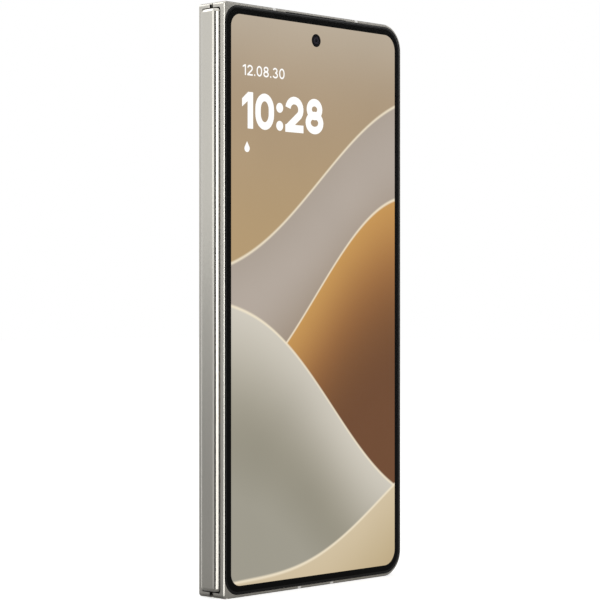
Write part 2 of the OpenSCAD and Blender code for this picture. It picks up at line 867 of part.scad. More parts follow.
// Synchronising gears: two on the swing arms and two idlers between them
shaft_x = axis_x - shaft_reach * sin(shaft_angle);
shaft_y = axis_y + shaft_reach * cos(shaft_angle);
gear_r = shaft_y / 3;
tooth = 2 * gear_r / gear_teeth;
gear_tip = gear_r + 0.85 * tooth;
gear_root = gear_r - 1.1 * tooth;
sync_z = body_h / 2;
arm_z = sync_z + gear_w / 2 + run_gap;
arm_w = 3;
sync_len = gear_w + arm_w + 4 * run_gap + 2 * block_wall;
sync_mid = sync_z + arm_w / 2 + run_gap;
arm_neck = 0.39;
neck_in = shaft_y - 0.45;
arm_beam_in = gap_half + 1.8;
arm_beam_t = 0.44;
arm_bend_x = axis_x + 0.6;
arm_end_x = 5.5;

module gear_shape(phase) {
    step = 360 / gear_teeth;
    polygon([for (n = [0:gear_teeth - 1], p = [[-0.29, gear_root], [-0.11, gear_tip], [0.11, gear_tip], [0.29, gear_root]])
        let (at = 90 + (n + phase + p[0]) * step) [p[1] * cos(at), p[1] * sin(at)]]);
}

module gear(y, phase) {
    translate([shaft_x, y, sync_z - gear_w / 2]) linear_extrude(gear_w) difference() {
        gear_shape(phase);
        circle(r = shaft_r + 0.03);
    }
}

module arm_shape() {
    difference() {
        union() {
            translate([shaft_x, shaft_y]) circle(r = gear_root);
            translate([shaft_x, neck_in]) square([arm_bend_x + 0.4 - shaft_x, arm_neck]);
            translate([arm_bend_x, neck_in]) square([0.4, arm_beam_in + arm_beam_t - neck_in]);
            translate([arm_bend_x, arm_beam_in]) square([arm_end_x - arm_bend_x, arm_beam_t]);
        }
        translate([shaft_x, shaft_y]) circle(r = shaft_r + 0.03);
    }
}

module sync_arm(phase) {
    gear(shaft_y, phase);
    translate([0, 0, arm_z - run_gap - eps]) linear_extrude(arm_w + run_gap + eps) arm_shape();
}

module rear_sync_arm() {
    color([0.62, 0.6, 0.55]) placed() sync_arm(0);
}

module front_sync_arm() {
    color([0.62, 0.6, 0.55]) placed() mirror([0, 1, 0]) sync_arm(0.5);
}

module rear_idler_gear() {
    color([0.7, 0.68, 0.6]) placed() gear(gear_r, 0.5);
}

module front_idler_gear() {
    color([0.7, 0.68, 0.6]) placed() gear(-gear_r, 0);
}

module gear_shafts() {
    color([0.75, 0.75, 0.77]) placed() for (y = [-shaft_y, -gear_r, gear_r, shaft_y])
        translate([shaft_x, y, sync_mid - sync_len / 2]) cylinder(r = shaft_r, h = sync_len);
}

module friction_rings() {
    color([0.6, 0.6, 0.62]) placed() for (y = [-shaft_y, shaft_y])
        translate([shaft_x, y, sync_mid + sync_len / 2]) difference() {
            cylinder(r = gear_root, h = 1.2);
            translate([0, 0, -1]) cylinder(r = shaft_r + 0.03, h = 3);
        }
}

module sync_block() {
    color([0.5, 0.5, 0.52]) placed() difference() {
        block_body(sync_mid, sync_len);
        // Room for the gears, and for the arms as they swing
        translate([0, 0, sync_mid - sync_len / 2 + block_wall]) linear_extrude(sync_len - 2 * block_wall) {
            for (y = [-shaft_y, -gear_r, gear_r, shaft_y]) translate([shaft_x, y]) circle(r = gear_tip + run_gap);
            translate([shaft_x, -8]) square([8, 16]);
        }
        for (y = [-shaft_y, -gear_r, gear_r, shaft_y])
            translate([shaft_x, y, 0]) cylinder(r = shaft_r, h = body_h);
    }
}

// Thin support that the screen lies on over the spine, open where the tongues come through
support_half = axis_y + 0.5;

module screen_support() {
    color([0.6, 0.6, 0.62]) placed() difference() {
        box([support_x, -support_half, spine_z0 + spine_cap], [support_x + support_t, support_half, spine_z1 - spine_cap]);
        for (z = stations, side = [-1, 1]) {
            mid = z + side * station_pitch / 2;
            far = -side * (tongue_out - axis_y + run_gap);
            near = -side * (tongue_r - axis_y - run_gap - 0.1);
            box(
                [support_x - 1, min(far, near), mid - tongue_w / 2 - run_gap],
                [support_x + support_t + 1, max(far, near), mid + tongue_w / 2 + run_gap]
            );
        }
        // Room for the necks of the two swing arms
        for (side = [-1, 1]) scale([1, side, 1]) box(
            [support_x - 1, neck_in - run_gap, arm_z - 2 * run_gap],
            [support_x + support_t + 1, support_half + 1, arm_z + arm_w + run_gap]
        );
    }
}

// Folded screen: a drop shape whose middle line is a half circle at the tip and two easy curves
mid_tip_r = tip_r + screen_t / 2;
tip_x = fold_tip + screen_t + tip_r;
fold_neck_x = tip_x + 0.95;
bulge_x = tip_x + 4.1;
bulge_mid = bulge - screen_t / 2;
fold_end_x = fold_reach - end_setback;
fold_end_mid = gap_half + screen_recess + screen_t / 2;
function ease(low, high, t) = low + (high - low) * (1 - cos(180 * t)) / 2;
fold_side = concat(
    [for (n = [0:9]) let (at = 180 - n * 9) [tip_x + mid_tip_r * cos(at), mid_tip_r * sin(at)]],
    [[tip_x, mid_tip_r]],
    [for (n = [0:8]) [fold_neck_x + (bulge_x - fold_neck_x) * n / 8, ease(mid_tip_r, bulge_mid, n / 8)]],
    [for (n = [1:14]) [bulge_x + (fold_end_x - bulge_x) * n / 14, ease(bulge_mid, fold_end_mid, n / 14)]]
);
function turned(v) = [-v[1], v[0]] / norm(v);
function side_normal(path, n) = n == 0 ? [-1, 0]
    : n == len(path) - 1 ? [0, 1]
    : turned(path[n + 1] - path[n - 1]);
function offset_side(shift) = [for (n = [0:len(fold_side) - 1]) fold_side[n] + shift * side_normal(fold_side, n)];

module screen_fold() {
    color([0.02, 0.02, 0.03]) placed() translate([0, 0, fold_z0]) linear_extrude(fold_z1 - fold_z0)
        polygon(concat(
            offset_side(screen_t / 2),
            [for (n = [len(fold_side) - 1:-1:0]) offset_side(-screen_t / 2)[n]],
            [for (n = [1:len(fold_side) - 1]) let (p = offset_side(-screen_t / 2)[n]) [p[0], -p[1]]],
            [for (n = [len(fold_side) - 1:-1:1]) let (p = offset_side(screen_t / 2)[n]) [p[0], -p[1]]]
        ));
}

// Cables that carry power and signals across the hinge, in a U inside the spine
flex_t = 0.12;
flex_w = 14;
flex_side = body_h * 0.1625;
flex_r = 2.1;
flex_y = gap_half + trough_w - 0.04;
flex_x = axis_x + 0.17;
flex_end = 7;

module flex_shape() {
    for (side = [0, 1]) mirror([0, side]) {
        translate([flex_x - eps, flex_y - flex_t]) square([flex_end - flex_x, flex_t]);
        translate([flex_x, flex_y - flex_r]) intersection() {
            difference() {
                circle(r = flex_r);
                circle(r = flex_r - flex_t);
            }
            translate([-flex_r - 1, 0]) square([flex_r + 1, flex_r + 1]);
        }
        translate([flex_x - flex_r, -eps]) square([flex_t, flex_y - flex_r + 2 * eps]);
    }
}

module hinge_flex_cables() {
    color([0.75, 0.5, 0.2]) placed() for (side = [-1, 1])
        translate([0, 0, body_h / 2 + side * flex_side - flex_w / 2]) linear_extrude(flex_w) flex_shape();
}

// Wing plates: they carry the flexible screen and tilt away from it as the phone folds
wing_pivot_u = fold_reach - 0.4;
wing_pivot_w = screen_back + 0.26;
wing_bead_r = 0.2;
wing_end_u = axis_u + pocket_r + 0.06;
notch_u = foot_x1 + end_setback + 0.3;
sync_notch_u = arm_end_x + end_setback + 2.3;

module wing_plate(side) {
    translate([wing_pivot_u, wing_pivot_w, 0]) rotate([0, 0, -wing_tilt]) {
        difference() {
            box([wing_end_u - wing_pivot_u, -wing_t / 2, fold_z0 + 0.3], [0, wing_t / 2, fold_z1 - 0.3]);
            for (z = stations) box(
                [-20, -1, z + side * station_pitch / 2 - tongue_w / 2 - 0.3],
                [notch_u - wing_pivot_u, 1, z + side * station_pitch / 2 + tongue_w / 2 + 0.3]
            );
            box([-20, -1, arm_z - 0.4], [sync_notch_u - wing_pivot_u, 1, arm_z + arm_w + 0.4]);
        }
        translate([0, 0, fold_z0 + 0.3]) cylinder(r = wing_bead_r, h = fold_z1 - fold_z0 - 0.6);
    }
}

module rear_wing_plate() {
    color([0.65, 0.65, 0.67]) rear() wing_plate(1);
}

module front_wing_plate() {
    color([0.65, 0.65, 0.67]) front() wing_plate(-1);
}

// Front half
slit_u0 = selfie_u - slit_len / 2;
slit_z0 = body_h - glass_end_inset + seam;

module front_frame() {
    color(champagne) front() difference() {
        frame_body(panel_back);
        band_cuts(top_bands, bottom_bands);
        box([slit_u0, half_t - 0.5, slit_z0 - eps], [slit_u0 + slit_len, half_t + 1, slit_z0 + slit_h]);
        bracket_screw_holes(-1);
    }
}

module cover_glass() {
    color([0.03, 0.03, 0.04]) front() slab(glass_back, half_t) glass_shape(0);
}

module cover_screen() {
    color([0.55, 0.48, 0.38]) front() difference() {
        slab(panel_back, glass_back) outline(
            cover_panel_u, half_w - glass_free_inset - cover_panel_rim,
            glass_end_inset + cover_panel_rim, body_h - glass_end_inset - cover_panel_rim,
            glass_hinge_r - cover_panel_rim, corner_r - glass_free_inset - cover_panel_rim
        );
        across(selfie_u, body_h - selfie_top, panel_back - 1, glass_back + 1, selfie_r);
    }
}

module cover_camera() {
    color([0.04, 0.04, 0.05]) front() {
        across(selfie_u, body_h - selfie_top, mid_back, glass_back - 0.1, selfie_r - 0.05);
        translate([selfie_u, 0, body_h - selfie_top]) box([-3, mid_back, -3], [3, mid_back + 1.6, 3]);
    }
}

earpiece_w = slit_len * 0.49;

module earpiece() {
    color([0.1, 0.1, 0.1]) front() box(
        [slit_u0 + slit_len - earpiece_w / 2, mid_back, body_h - earpiece_w],
        [slit_u0 + slit_len + earpiece_w / 2, panel_back - 0.2, body_h - wall - 0.2]
    );
}

module earpiece_mesh() {
    color([0.06, 0.06, 0.06]) front() box(
        [slit_u0 + 0.02, half_t - 0.5, slit_z0 + 0.02], [slit_u0 + slit_len - 0.02, half_t - 0.15, slit_z0 + slit_h - 0.02]
    );
}

module front_antenna_bands() {
    color(band_tone) front() bands(top_bands, bottom_bands);
}

module front_battery() {
    color([0.12, 0.12, 0.13]) front() box(
        [bay_u + 1, mid_back, front_battery_z],
        [half_w - front_battery_side, panel_back - 0.2, body_h - front_battery_top]
    );
}

connector_w = half_w * 0.28;

module lower_board() {
    color([0.08, 0.22, 0.14]) front() {
        box([bay_u + 2, mid_back, wall + 3], [bay_end - 6, mid_back + board_t, front_battery_z - 3]);
        box(
            [bay_u + 6, mid_back + board_t - eps, wall + 6],
            [bay_u + 6 + connector_w, mid_back + board_t + 0.9, front_battery_z - 8]
        );
    }
}

module front_magnets() {
    color([0.5, 0.5, 0.52]) front() magnets();
}

module front_screen() {
    color([0.02, 0.02, 0.03]) front() slab(screen_recess, screen_back) screen_shape(0);
}

module front_screen_bezel() {
    color([0.06, 0.06, 0.06]) front() screen_bezel();
}

rear_frame();
rear_cover();
rear_antenna_bands();
camera_island();
camera_rings();
camera_windows();
camera_modules();
flash_window();
flash_module();
rear_battery();
main_board();
board_shields();
charging_coil();
charging_socket();
loudspeaker();
vibration_motor();
rear_magnets();
key_switch_strip();
rear_screen();
rear_screen_bezel();
inner_camera();
rear_hinge_brackets();
rear_bracket_screws();
power_button();
volume_rocker();
card_tray();
card_reader();
rear_wing_plate();
rear_sync_arm();
spine_cover();
hinge_blocks();
sync_block();
gear_shafts();
friction_rings();
screen_support();
rear_idler_gear();
front_idler_gear();
screen_fold();
hinge_flex_cables();
front_frame();
cover_glass();
cover_screen();
cover_camera();
earpiece();
earpiece_mesh();
front_antenna_bands();
front_battery();
lower_board();
front_magnets();
front_screen();
front_screen_bezel();
front_hinge_brackets();
front_bracket_screws();
front_wing_plate();
front_sync_arm();
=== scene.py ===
# A folding phone, shut and standing on its end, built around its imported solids.
# The row frame is in metres: +Z up along the hinge, the outer screen faces -Y, the spine lies on the -X side.
import math

import bmesh
import bpy
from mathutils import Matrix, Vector


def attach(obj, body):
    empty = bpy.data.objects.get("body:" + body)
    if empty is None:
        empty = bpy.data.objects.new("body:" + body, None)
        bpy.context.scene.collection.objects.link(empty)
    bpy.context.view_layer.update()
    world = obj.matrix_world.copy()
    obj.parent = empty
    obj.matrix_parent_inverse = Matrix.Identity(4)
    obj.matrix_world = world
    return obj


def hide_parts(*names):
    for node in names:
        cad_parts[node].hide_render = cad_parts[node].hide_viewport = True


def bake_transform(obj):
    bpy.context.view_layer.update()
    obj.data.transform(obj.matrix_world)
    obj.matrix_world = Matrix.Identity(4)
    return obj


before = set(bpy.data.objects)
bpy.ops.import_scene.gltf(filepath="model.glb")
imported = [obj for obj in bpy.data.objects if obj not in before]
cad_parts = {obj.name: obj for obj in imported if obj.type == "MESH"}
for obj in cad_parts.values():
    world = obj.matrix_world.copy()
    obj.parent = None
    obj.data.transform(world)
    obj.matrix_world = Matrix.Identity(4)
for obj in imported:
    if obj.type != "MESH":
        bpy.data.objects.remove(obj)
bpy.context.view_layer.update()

# Camera: where the photograph was taken from, level with the middle of the phone and looking
# at the corner between the spine and the outer screen.
MM = 0.001
SENSOR = 36
PICTURE_SIZE = 600
FOCAL_LENGTH = 2025.6
CAMERA_PLACE = (-412.49, -393.85, 79.0)
CAMERA_TURN = -46.35
camera_data = bpy.data.cameras.new("camera")
camera_data.sensor_width = SENSOR
camera_data.lens = FOCAL_LENGTH / PICTURE_SIZE * SENSOR
camera_data.shift_x = -0.0008
camera_data.shift_y = 0.0063
camera_data.clip_start = 0.01
camera = bpy.data.objects.new("camera", camera_data)
camera.location = Vector(CAMERA_PLACE) * MM
camera.rotation_euler = (math.radians(90), 0, math.radians(CAMERA_TURN))
bpy.context.scene.collection.objects.link(camera)
bpy.context.scene.camera = camera


# Body metal: aluminium alloy, milled, blasted with fine beads and anodised to a warm champagne.
# Its chamfered edges are polished a little brighter than the flats, and its sharp edges are lightened in
# colour, partly as polish and partly as a painted highlight.
def new_group(name, inputs, outputs):
    """An empty shader node group with named float, vector or colour sockets."""
    group = bpy.data.node_groups.new(name, "ShaderNodeTree")
    for socket, kind, default in inputs:
        item = group.interface.new_socket(name=socket, in_out="INPUT", socket_type=kind)
        item.default_value = default
    for socket, kind in outputs:
        group.interface.new_socket(name=socket, in_out="OUTPUT", socket_type=kind)
    entry = group.nodes.new("NodeGroupInput")
    leave = group.nodes.new("NodeGroupOutput")
    return group, entry, leave


def wire(tree, links):
    """Joins node sockets given as (node, output, node, input)."""
    for source, output, target, entry in links:
        tree.links.new(source.outputs[output], target.inputs[entry])


def node(tree, kind, **settings):
    """A node with its settings, and its unlinked inputs given as a dict under 'values'."""
    values = settings.pop("values", {})
    made = tree.nodes.new(kind)
    for name, value in settings.items():
        setattr(made, name, value)
    for name, value in values.items():
        made.inputs[name].default_value = value
    return made


def blasted_grain_group():
    """Tiny pits left by bead blasting, with a soft cloudiness in the anodised colour."""
    group, entry, leave = new_group(
        "Blasted grain",
        [("Pits per metre", "NodeSocketFloat", 9000.0), ("Cloudiness", "NodeSocketFloat", 0.05),
         ("Roughness", "NodeSocketFloat", 0.4), ("Colour", "NodeSocketColor", (0.7, 0.7, 0.7, 1))],
        [("Colour", "NodeSocketColor"), ("Roughness", "NodeSocketFloat"), ("Height", "NodeSocketFloat")],
    )
    place = node(group, "ShaderNodeTexCoord")
    pits = node(group, "ShaderNodeTexNoise", values={"Detail": 2.0, "Roughness": 0.6})
    clouds = node(group, "ShaderNodeTexNoise", values={"Scale": 55.0, "Detail": 3.0})
    centred = node(group, "ShaderNodeMath", operation="SUBTRACT", values={1: 0.5})
    amount = node(group, "ShaderNodeMath", operation="MULTIPLY")
    value = node(group, "ShaderNodeMath", operation="ADD", values={1: 1.0})
    tone = node(group, "ShaderNodeHueSaturation")
    fine = node(group, "ShaderNodeMath", operation="MULTIPLY_ADD", values={1: 0.12, 2: -0.06})
    rough = node(group, "ShaderNodeMath", operation="ADD")
    wire(group, [
        (place, "Object", pits, "Vector"), (entry, "Pits per metre", pits, "Scale"),
        (place, "Object", clouds, "Vector"), (clouds, "Fac", centred, 0), (centred, 0, amount, 0),
        (entry, "Cloudiness", amount, 1), (amount, 0, value, 0), (value, 0, tone, "Value"),
        (entry, "Colour", tone, "Color"), (tone, "Color", leave, "Colour"),
        (pits, "Fac", fine, 0), (fine, 0, rough, 0), (entry, "Roughness", rough, 1),
        (rough, 0, leave, "Roughness"), (pits, "Fac", leave, "Height"),
    ])
    return group


def edge_wear_and_sheen_group():
    """A mask, 1 on edges sharper than the given radius and 0 on flats, for edge polish and a painted
    highlight.
    """
    group, entry, leave = new_group(
        "Edge wear and sheen", [("Radius", "NodeSocketFloat", 0.0003), ("Gain", "NodeSocketFloat", 4.0)],
        [("Mask", "NodeSocketFloat")],
    )
    bevel = node(group, "ShaderNodeBevel", samples=6)
    surface = node(group, "ShaderNodeNewGeometry")
    dot = node(group, "ShaderNodeVectorMath", operation="DOT_PRODUCT")
    away = node(group, "ShaderNodeMath", operation="SUBTRACT", values={0: 1.0})
    gain = node(group, "ShaderNodeMath", operation="MULTIPLY", use_clamp=True)
    wire(group, [
        (entry, "Radius", bevel, "Radius"), (bevel, "Normal", dot, 0), (surface, "Normal", dot, 1),
        (dot, "Value", away, 1), (away, 0, gain, 0), (entry, "Gain", gain, 1), (gain, 0, leave, "Mask"),
    ])
    return group


blasted_grain = blasted_grain_group()
edge_wear_and_sheen = edge_wear_and_sheen_group()


def start_material(name, colour, roughness, metallic=0.0, **sockets):
    """A material with a Principled BSDF whose constants are set on its own sockets."""
    material = bpy.data.materials.new(name)
    material.use_nodes = True
    tree = material.node_tree
    shader = tree.nodes["Principled BSDF"]
    shader.inputs["Base Color"].default_value = (*colour, 1)
    shader.inputs["Roughness"].default_value = roughness
    shader.inputs["Metallic"].default_value = metallic
    for socket, value in sockets.items():
        shader.inputs[socket.replace("_", " ")].default_value = value
    material.diffuse_color = (*colour, 1)
    return material, tree, shader


# The colour sockets of a Mix node, two going in and one coming out, and the depth of fine bumps in metres
FIRST, SECOND, MIXED = 6, 7, 2
BUMP_DEPTH = 0.00002


def add_relief(tree, shader, source, output, strength, distance=BUMP_DEPTH):
    """Tiny bumps on a surface, from one output of a node."""
    bump = node(tree, "ShaderNodeBump", values={"Strength": strength, "Distance": distance})
    wire(tree, [(source, output, bump, "Height"), (bump, "Normal", shader, "Normal")])


def add_grain(tree, shader, colour, roughness, pits, cloudiness, strength):
    """Puts the blasted grain on a surface and hands back its node, whose colour is still to be linked."""
    grain = node(tree, "ShaderNodeGroup", node_tree=blasted_grain, values={
        "Pits per metre": pits, "Cloudiness": cloudiness, "Roughness": roughness, "Colour": (*colour, 1)})
    wire(tree, [(grain, "Roughness", shader, "Roughness")])
    add_relief(tree, shader, grain, "Height", strength)
    return grain


def metal_finish(name, colour, roughness, pits=9000.0, bump=0.04, polish_and_sheen=0.25):
    """Metal with blasting pits, and edges lightened in colour, partly as polish and partly as a painted
    highlight.
    """
    material, tree, shader = start_material(name, colour, roughness, 1.0)
    grain = add_grain(tree, shader, colour, roughness, pits, 0.05, bump)
    # Painted highlight, partly real polish: sharp edges are mixed towards near-white whatever the light
    wear_and_sheen = node(tree, "ShaderNodeGroup", node_tree=edge_wear_and_sheen, values={"Radius": 0.00022, "Gain": 3.0})
    share = node(tree, "ShaderNodeMath", operation="MULTIPLY", values={1: polish_and_sheen})
    mix = node(tree, "ShaderNodeMix", data_type="RGBA", values={SECOND: (0.95, 0.93, 0.88, 1)})
    wire(tree, [
        (wear_and_sheen, "Mask", share, 0), (share, 0, mix, 0),
        (grain, "Colour", mix, FIRST), (mix, MIXED, shader, "Base Color"),
    ])
    return material


satin_metal = metal_finish("satin champagne aluminium", (0.52, 0.5, 0.455), 0.3)
bright_metal = metal_finish(
    "fine champagne aluminium", (0.56, 0.54, 0.49), 0.2, pits=14000.0, bump=0.02, polish_and_sheen=0.1)

# The two frames: each half's tray-shaped aluminium frame, with flat sides, chamfered edges,
# square corners beside the hinge and round ones at the free edge. Each is milled from one plate.
HEIGHT = 160.0
HALF_W = 72.2
HALF_T = 4.7
GAP = 0.5
CORNER_R = 7.2
HINGE_CORNER_R = 1.0
FRAME_START = 0.03
# From a half's hinge end to the middle of the hinge, and where that middle lies in the row frame
SETBACK = 1.83
SHIFT_X = -33.76
SHIFT_Y = -1.10
# The folding axis, from a half's hinge end and from its inner face
AXIS_U = 1.04
AXIS_W = 0.79
# The side of the gap on which each half lies
REAR, FRONT = 1, -1


def half_point(side, u, w, z):
    """A point of a half, from its hinge end, inner face and bottom, in the row frame."""
    return Vector((u - SETBACK + SHIFT_X, side * (GAP / 2 + w) + SHIFT_Y, z)) * MM


def arc(x, y, rx, ry, start, end, steps=14):
    """Points along part of an ellipse, from one angle to another in degrees."""
    turns = [math.radians(start + (end - start) * n / steps) for n in range(steps + 1)]
    return [(x + rx * math.cos(a), y + ry * math.sin(a)) for a in turns]


def circle(x, y, radius, steps):
    """A closed ring of points."""
    return arc(x, y, radius, radius, 0, 360, steps)[:-1]


def rounded(u0, u1, z0, z1, r0, r1, steps=12):
    """A closed outline in (u, z): corner radius r0 beside the hinge and r1 at the free edge."""
    corners = [
        (u1 - r1, z0 + r1, r1, -90), (u1 - r1, z1 - r1, r1, 0),
        (u0 + r0, z1 - r0, r0, 90), (u0 + r0, z0 + r0, r0, 180),
    ]
    points = []
    for u, z, r, start in corners:
        points += arc(u, z, r, r, start, start + 90, steps)
    return points


def body_outline(d):
    """The frame's outline, drawn in by d."""
    hinge_r = max(HINGE_CORNER_R - d, 0.15)
    return rounded(FRAME_START + d, HALF_W - d, d, HEIGHT - d, hinge_r, CORNER_R - d)


GLASS_START = 0.37
GLASS_RIM = 0.6
GLASS_END = 0.8
GLASS_HINGE_R = 5.0


def glass_outline(grow):
    """The outer glass panel's outline, grown outwards."""
    u0, u1 = GLASS_START - grow, HALF_W - GLASS_RIM + grow
    z0, z1 = GLASS_END - grow, HEIGHT - GLASS_END + grow
    return rounded(u0, u1, z0, z1, GLASS_HINGE_R + grow, CORNER_R - GLASS_RIM + grow)


SCREEN_START = 12.6
SCREEN_RIM = 1.0


def screen_outline(grow):
    """The inner screen panel's outline on one half, square where the folded middle starts."""
    rim = SCREEN_RIM - grow
    return rounded(SCREEN_START - grow, HALF_W - rim, rim, HEIGHT - rim, 0.05, CORNER_R - rim)


def mesh_object(name, points, faces, materials, smooth=30):
    """A mesh object with outward normals, smooth except over the given angle."""
    mesh = bpy.data.meshes.new(name)
    mesh.from_pydata([tuple(p) for p in points], [], faces)
    shape = bmesh.new()
    shape.from_mesh(mesh)
    bmesh.ops.remove_doubles(shape, verts=shape.verts, dist=1e-7)
    bmesh.ops.recalc_face_normals(shape, faces=shape.faces)
    shape.to_mesh(mesh)
    shape.free()
    made = bpy.data.objects.new(name, mesh)
    for material in materials:
        mesh.materials.append(material)
    bpy.context.scene.collection.objects.link(made)
    shade(made, smooth)
    return made


def shade(made, smooth=30):
    """Smooth shading that keeps edges over the angle sharp and large flats flat."""
    made.data.shade_smooth()
    made.data.set_sharp_from_angle(angle=math.radians(smooth))
    if "weights" not in made.modifiers:
        weights = made.modifiers.new("weights", "WEIGHTED_NORMAL")
        weights.keep_sharp = True


def loft(name, rings, materials, capped=True, smooth=30):
    """A solid through closed rings with the same number of points, capped at both ends."""
    count = len(rings[0])
    points = [p for ring in rings for p in ring]
    faces = []
    for r in range(len(rings) - 1):
        for n in range(count):
            m = (n + 1) % count
            faces.append((r * count + n, r * count + m, (r + 1) * count + m, (r + 1) * count + n))
    if capped:
        faces.append(tuple(range(count)))
        faces.append(tuple(range((len(rings) - 1) * count, len(rings) * count)))
    return mesh_object(name, points, faces, materials, smooth)


def plate(name, side, layers, materials):
    """A solid across a half: layers are (outline, depth) pairs."""
    rings = [[half_point(side, u, w, z) for u, z in line] for line, w in layers]
    return loft(name, rings, materials)


def half_box(name, side, low, high):
    """A plain box cutter in a half's own measures."""
    (u0, w0, z0), (u1, w1, z1) = low, high
    line = [(u0, z0), (u1, z0), (u1, z1), (u0, z1)]
    return plate(name, side, [(line, w0), (line, w1)], [])


def half_rod(name, side, centre, levels, steps=96):
    """A round cutter along the hinge direction: levels are (height, radius) pairs."""
    rings = []
    for z, radius in levels:
        rings.append([half_point(side, u, w, z) for u, w in circle(*centre, radius, steps)])
    return loft(name, rings, [])


def apply_modifiers(made):
    """Fixes the object's modifiers into its mesh."""
    bpy.context.view_layer.update()
    graph = bpy.context.evaluated_depsgraph_get()
    mesh = bpy.data.meshes.new_from_object(made.evaluated_get(graph))
    made.modifiers.clear()
    made.data = mesh


def carve(made, cutters, operation="DIFFERENCE"):
    """Cuts the given solids out of the object and removes them."""
    made.modifiers.clear()
    for n, cutter in enumerate(cutters):
        cutter.modifiers.clear()
        step = made.modifiers.new(f"cut {n}", "BOOLEAN")
        step.operation = operation
        step.solver = "EXACT"
        step.object = cutter
    apply_modifiers(made)
    for cutter in cutters:
        bpy.data.objects.remove(cutter)
    shade(made)


# How far each ring of the chamfer is drawn in, and its depth below the face
CHAMFER = [(0.0, 0.36), (0.012, 0.31), (0.045, 0.26), (0.26, 0.045), (0.31, 0.012), (0.36, 0.0)]
# The ring where the chamfer's wide flat starts
FLAT_RING = 2


def frame_blank(name, side, materials):
    """The whole outer form of a half's frame, still solid, with its chamfers in the second material."""
    layers = [(body_outline(d), w) for d, w in reversed(CHAMFER)]
    layers += [(body_outline(d), HALF_T - w) for d, w in CHAMFER]
    made = plate(name, side, layers, materials)
    count = len(layers[0][0])
    for strip in (FLAT_RING, len(layers) - FLAT_RING - 2):
        for polygon in made.data.polygons[strip * count:(strip + 1) * count]:
            polygon.material_index = 1
    return made


def stadium(u, w, length, width, steps=16):
    """A slot's outline across an end of the phone, as (u, w) points."""
    reach, r = (length - width) / 2, width / 2
    return arc(u + reach, w, r, r, -90, 90, steps) + arc(u - reach, w, r, r, 90, 270, steps)


def end_slot(name, side, centre, size, levels):
    """A slot cutter through an end wall: levels are (height, extra width) pairs."""
    rings = []
    for z, grow in levels:
        line = stadium(centre[0], centre[1], size[0] + 2 * grow, size[1] + 2 * grow)
        rings.append([half_point(side, u, w, z) for u, w in line])
    return loft(name, rings, [])


# What the cutters reach past the metal, and a depth outside a half's outer face
PAST = 1.0
OUTSIDE = 6.0
# The bay inside a half: its end walls, its floor under the inner screen, its start, end and depth
WALL = 2.6
FLOOR = 1.25
BAY_START = 13.4
BAY_END = 70.5
BAY_DEPTH = 4.2
# The seats of the two panes, and the room for the hinge
SEAT_GAP = 0.05
GLASS_SEAT = 4.1
SCREEN_SEAT = 0.75
TROUGH_DEPTH = 2.9
ROLL_R = 1.01
POCKET_R = 2.717
POCKET_END = 1.5
# The pocket's round end: heights above its end, and how far the wall is drawn in there
POCKET_ROUND = [(0.0, 0.42), (0.03, 0.34), (0.12, 0.24), (0.3, 0.13), (0.55, 0.05), (0.9, 0.0)]


def common_cuts(side):
    """What both frames lose: hinge room, glass seat, screen seat, inner bay and the rolling inner corner."""
    rolling = arc(AXIS_U, AXIS_W, ROLL_R, ROLL_R, 180, 270, 24)
    corner = [(-PAST, AXIS_W), *rolling, (AXIS_U, -PAST), (-PAST, -PAST)]
    pocket = [(POCKET_END + rise, POCKET_R - inset) for rise, inset in POCKET_ROUND]
    pocket += [(HEIGHT - z, radius) for z, radius in reversed(pocket)]
    glass, screen = glass_outline(SEAT_GAP), screen_outline(SEAT_GAP)
    trough = (-PAST, -PAST, POCKET_END), (SCREEN_START, TROUGH_DEPTH, HEIGHT - POCKET_END)
    bay = (BAY_START, FLOOR, WALL), (BAY_END, BAY_DEPTH, HEIGHT - WALL)
    ends = (-PAST, HEIGHT + PAST)
    return [
        plate("glass seat", side, [(glass, GLASS_SEAT), (glass, OUTSIDE)], []),
        plate("screen seat", side, [(screen, -PAST), (screen, SCREEN_SEAT)], []),
        half_rod("hinge pocket", side, (AXIS_U, AXIS_W), pocket),
        half_box("hinge trough", side, *trough),
        loft("rolling corner", [[half_point(side, u, w, z) for u, w in corner] for z in ends], []),
        half_box("inner bay", side, *bay),
    ]


# How deep the painted black shade on the rolling corners reaches, and how closely a face has to follow the
# rolling corner's arc
SHADE_STRIP_W = 0.42
ON_ARC = 0.02


def paint_gap_shade(made, side):
    """Paints the inner corners that roll past one another black, as painted shade in the gap between the
    halves.
    """
    for polygon in made.data.polygons:
        place = polygon.center / MM
        u = place.x - SHIFT_X + SETBACK
        w = side * (place.y - SHIFT_Y) - GAP / 2
        off = abs(math.hypot(u - AXIS_U, w - AXIS_W) - ROLL_R)
        if w < SHADE_STRIP_W and u < AXIS_U and off < ON_ARC:
            polygon.material_index = 2


# Painted shade: plain black for the rolling inner corners, which lie in the shaded gap between the halves
gap_shade_black, _, _ = start_material("painted gap shade", (0.006, 0.006, 0.006), 0.6, Specular_IOR_Level=0.1)

# The bands' places along the ends, from the hinge end
TOP_BANDS = (19.3, 52.7)
FRONT_BANDS = (29.2, 42.4)
REAR_BANDS = (14.8, 62.0)
BAND_W = 1.2
BAND_DEPTH = 0.65


def band_boxes(side, top, bottom):
    """The places of the antenna bands along both ends."""
    places = [(u, -PAST, BAND_DEPTH) for u in bottom]
    places += [(u, HEIGHT - BAND_DEPTH, HEIGHT + PAST) for u in top]
    boxes = []
    for u, low, high in places:
        boxes.append(half_box("band", side, (u - BAND_W / 2, -PAST, low), (u + BAND_W / 2, OUTSIDE, high)))
    return boxes


def flared(rim):
    """The levels of a slot through a wall, from outside inwards, with its rim chamfered."""
    return [(-PAST, rim), (0.0, rim), (rim, 0.0), (WALL + 0.1, 0.0)]


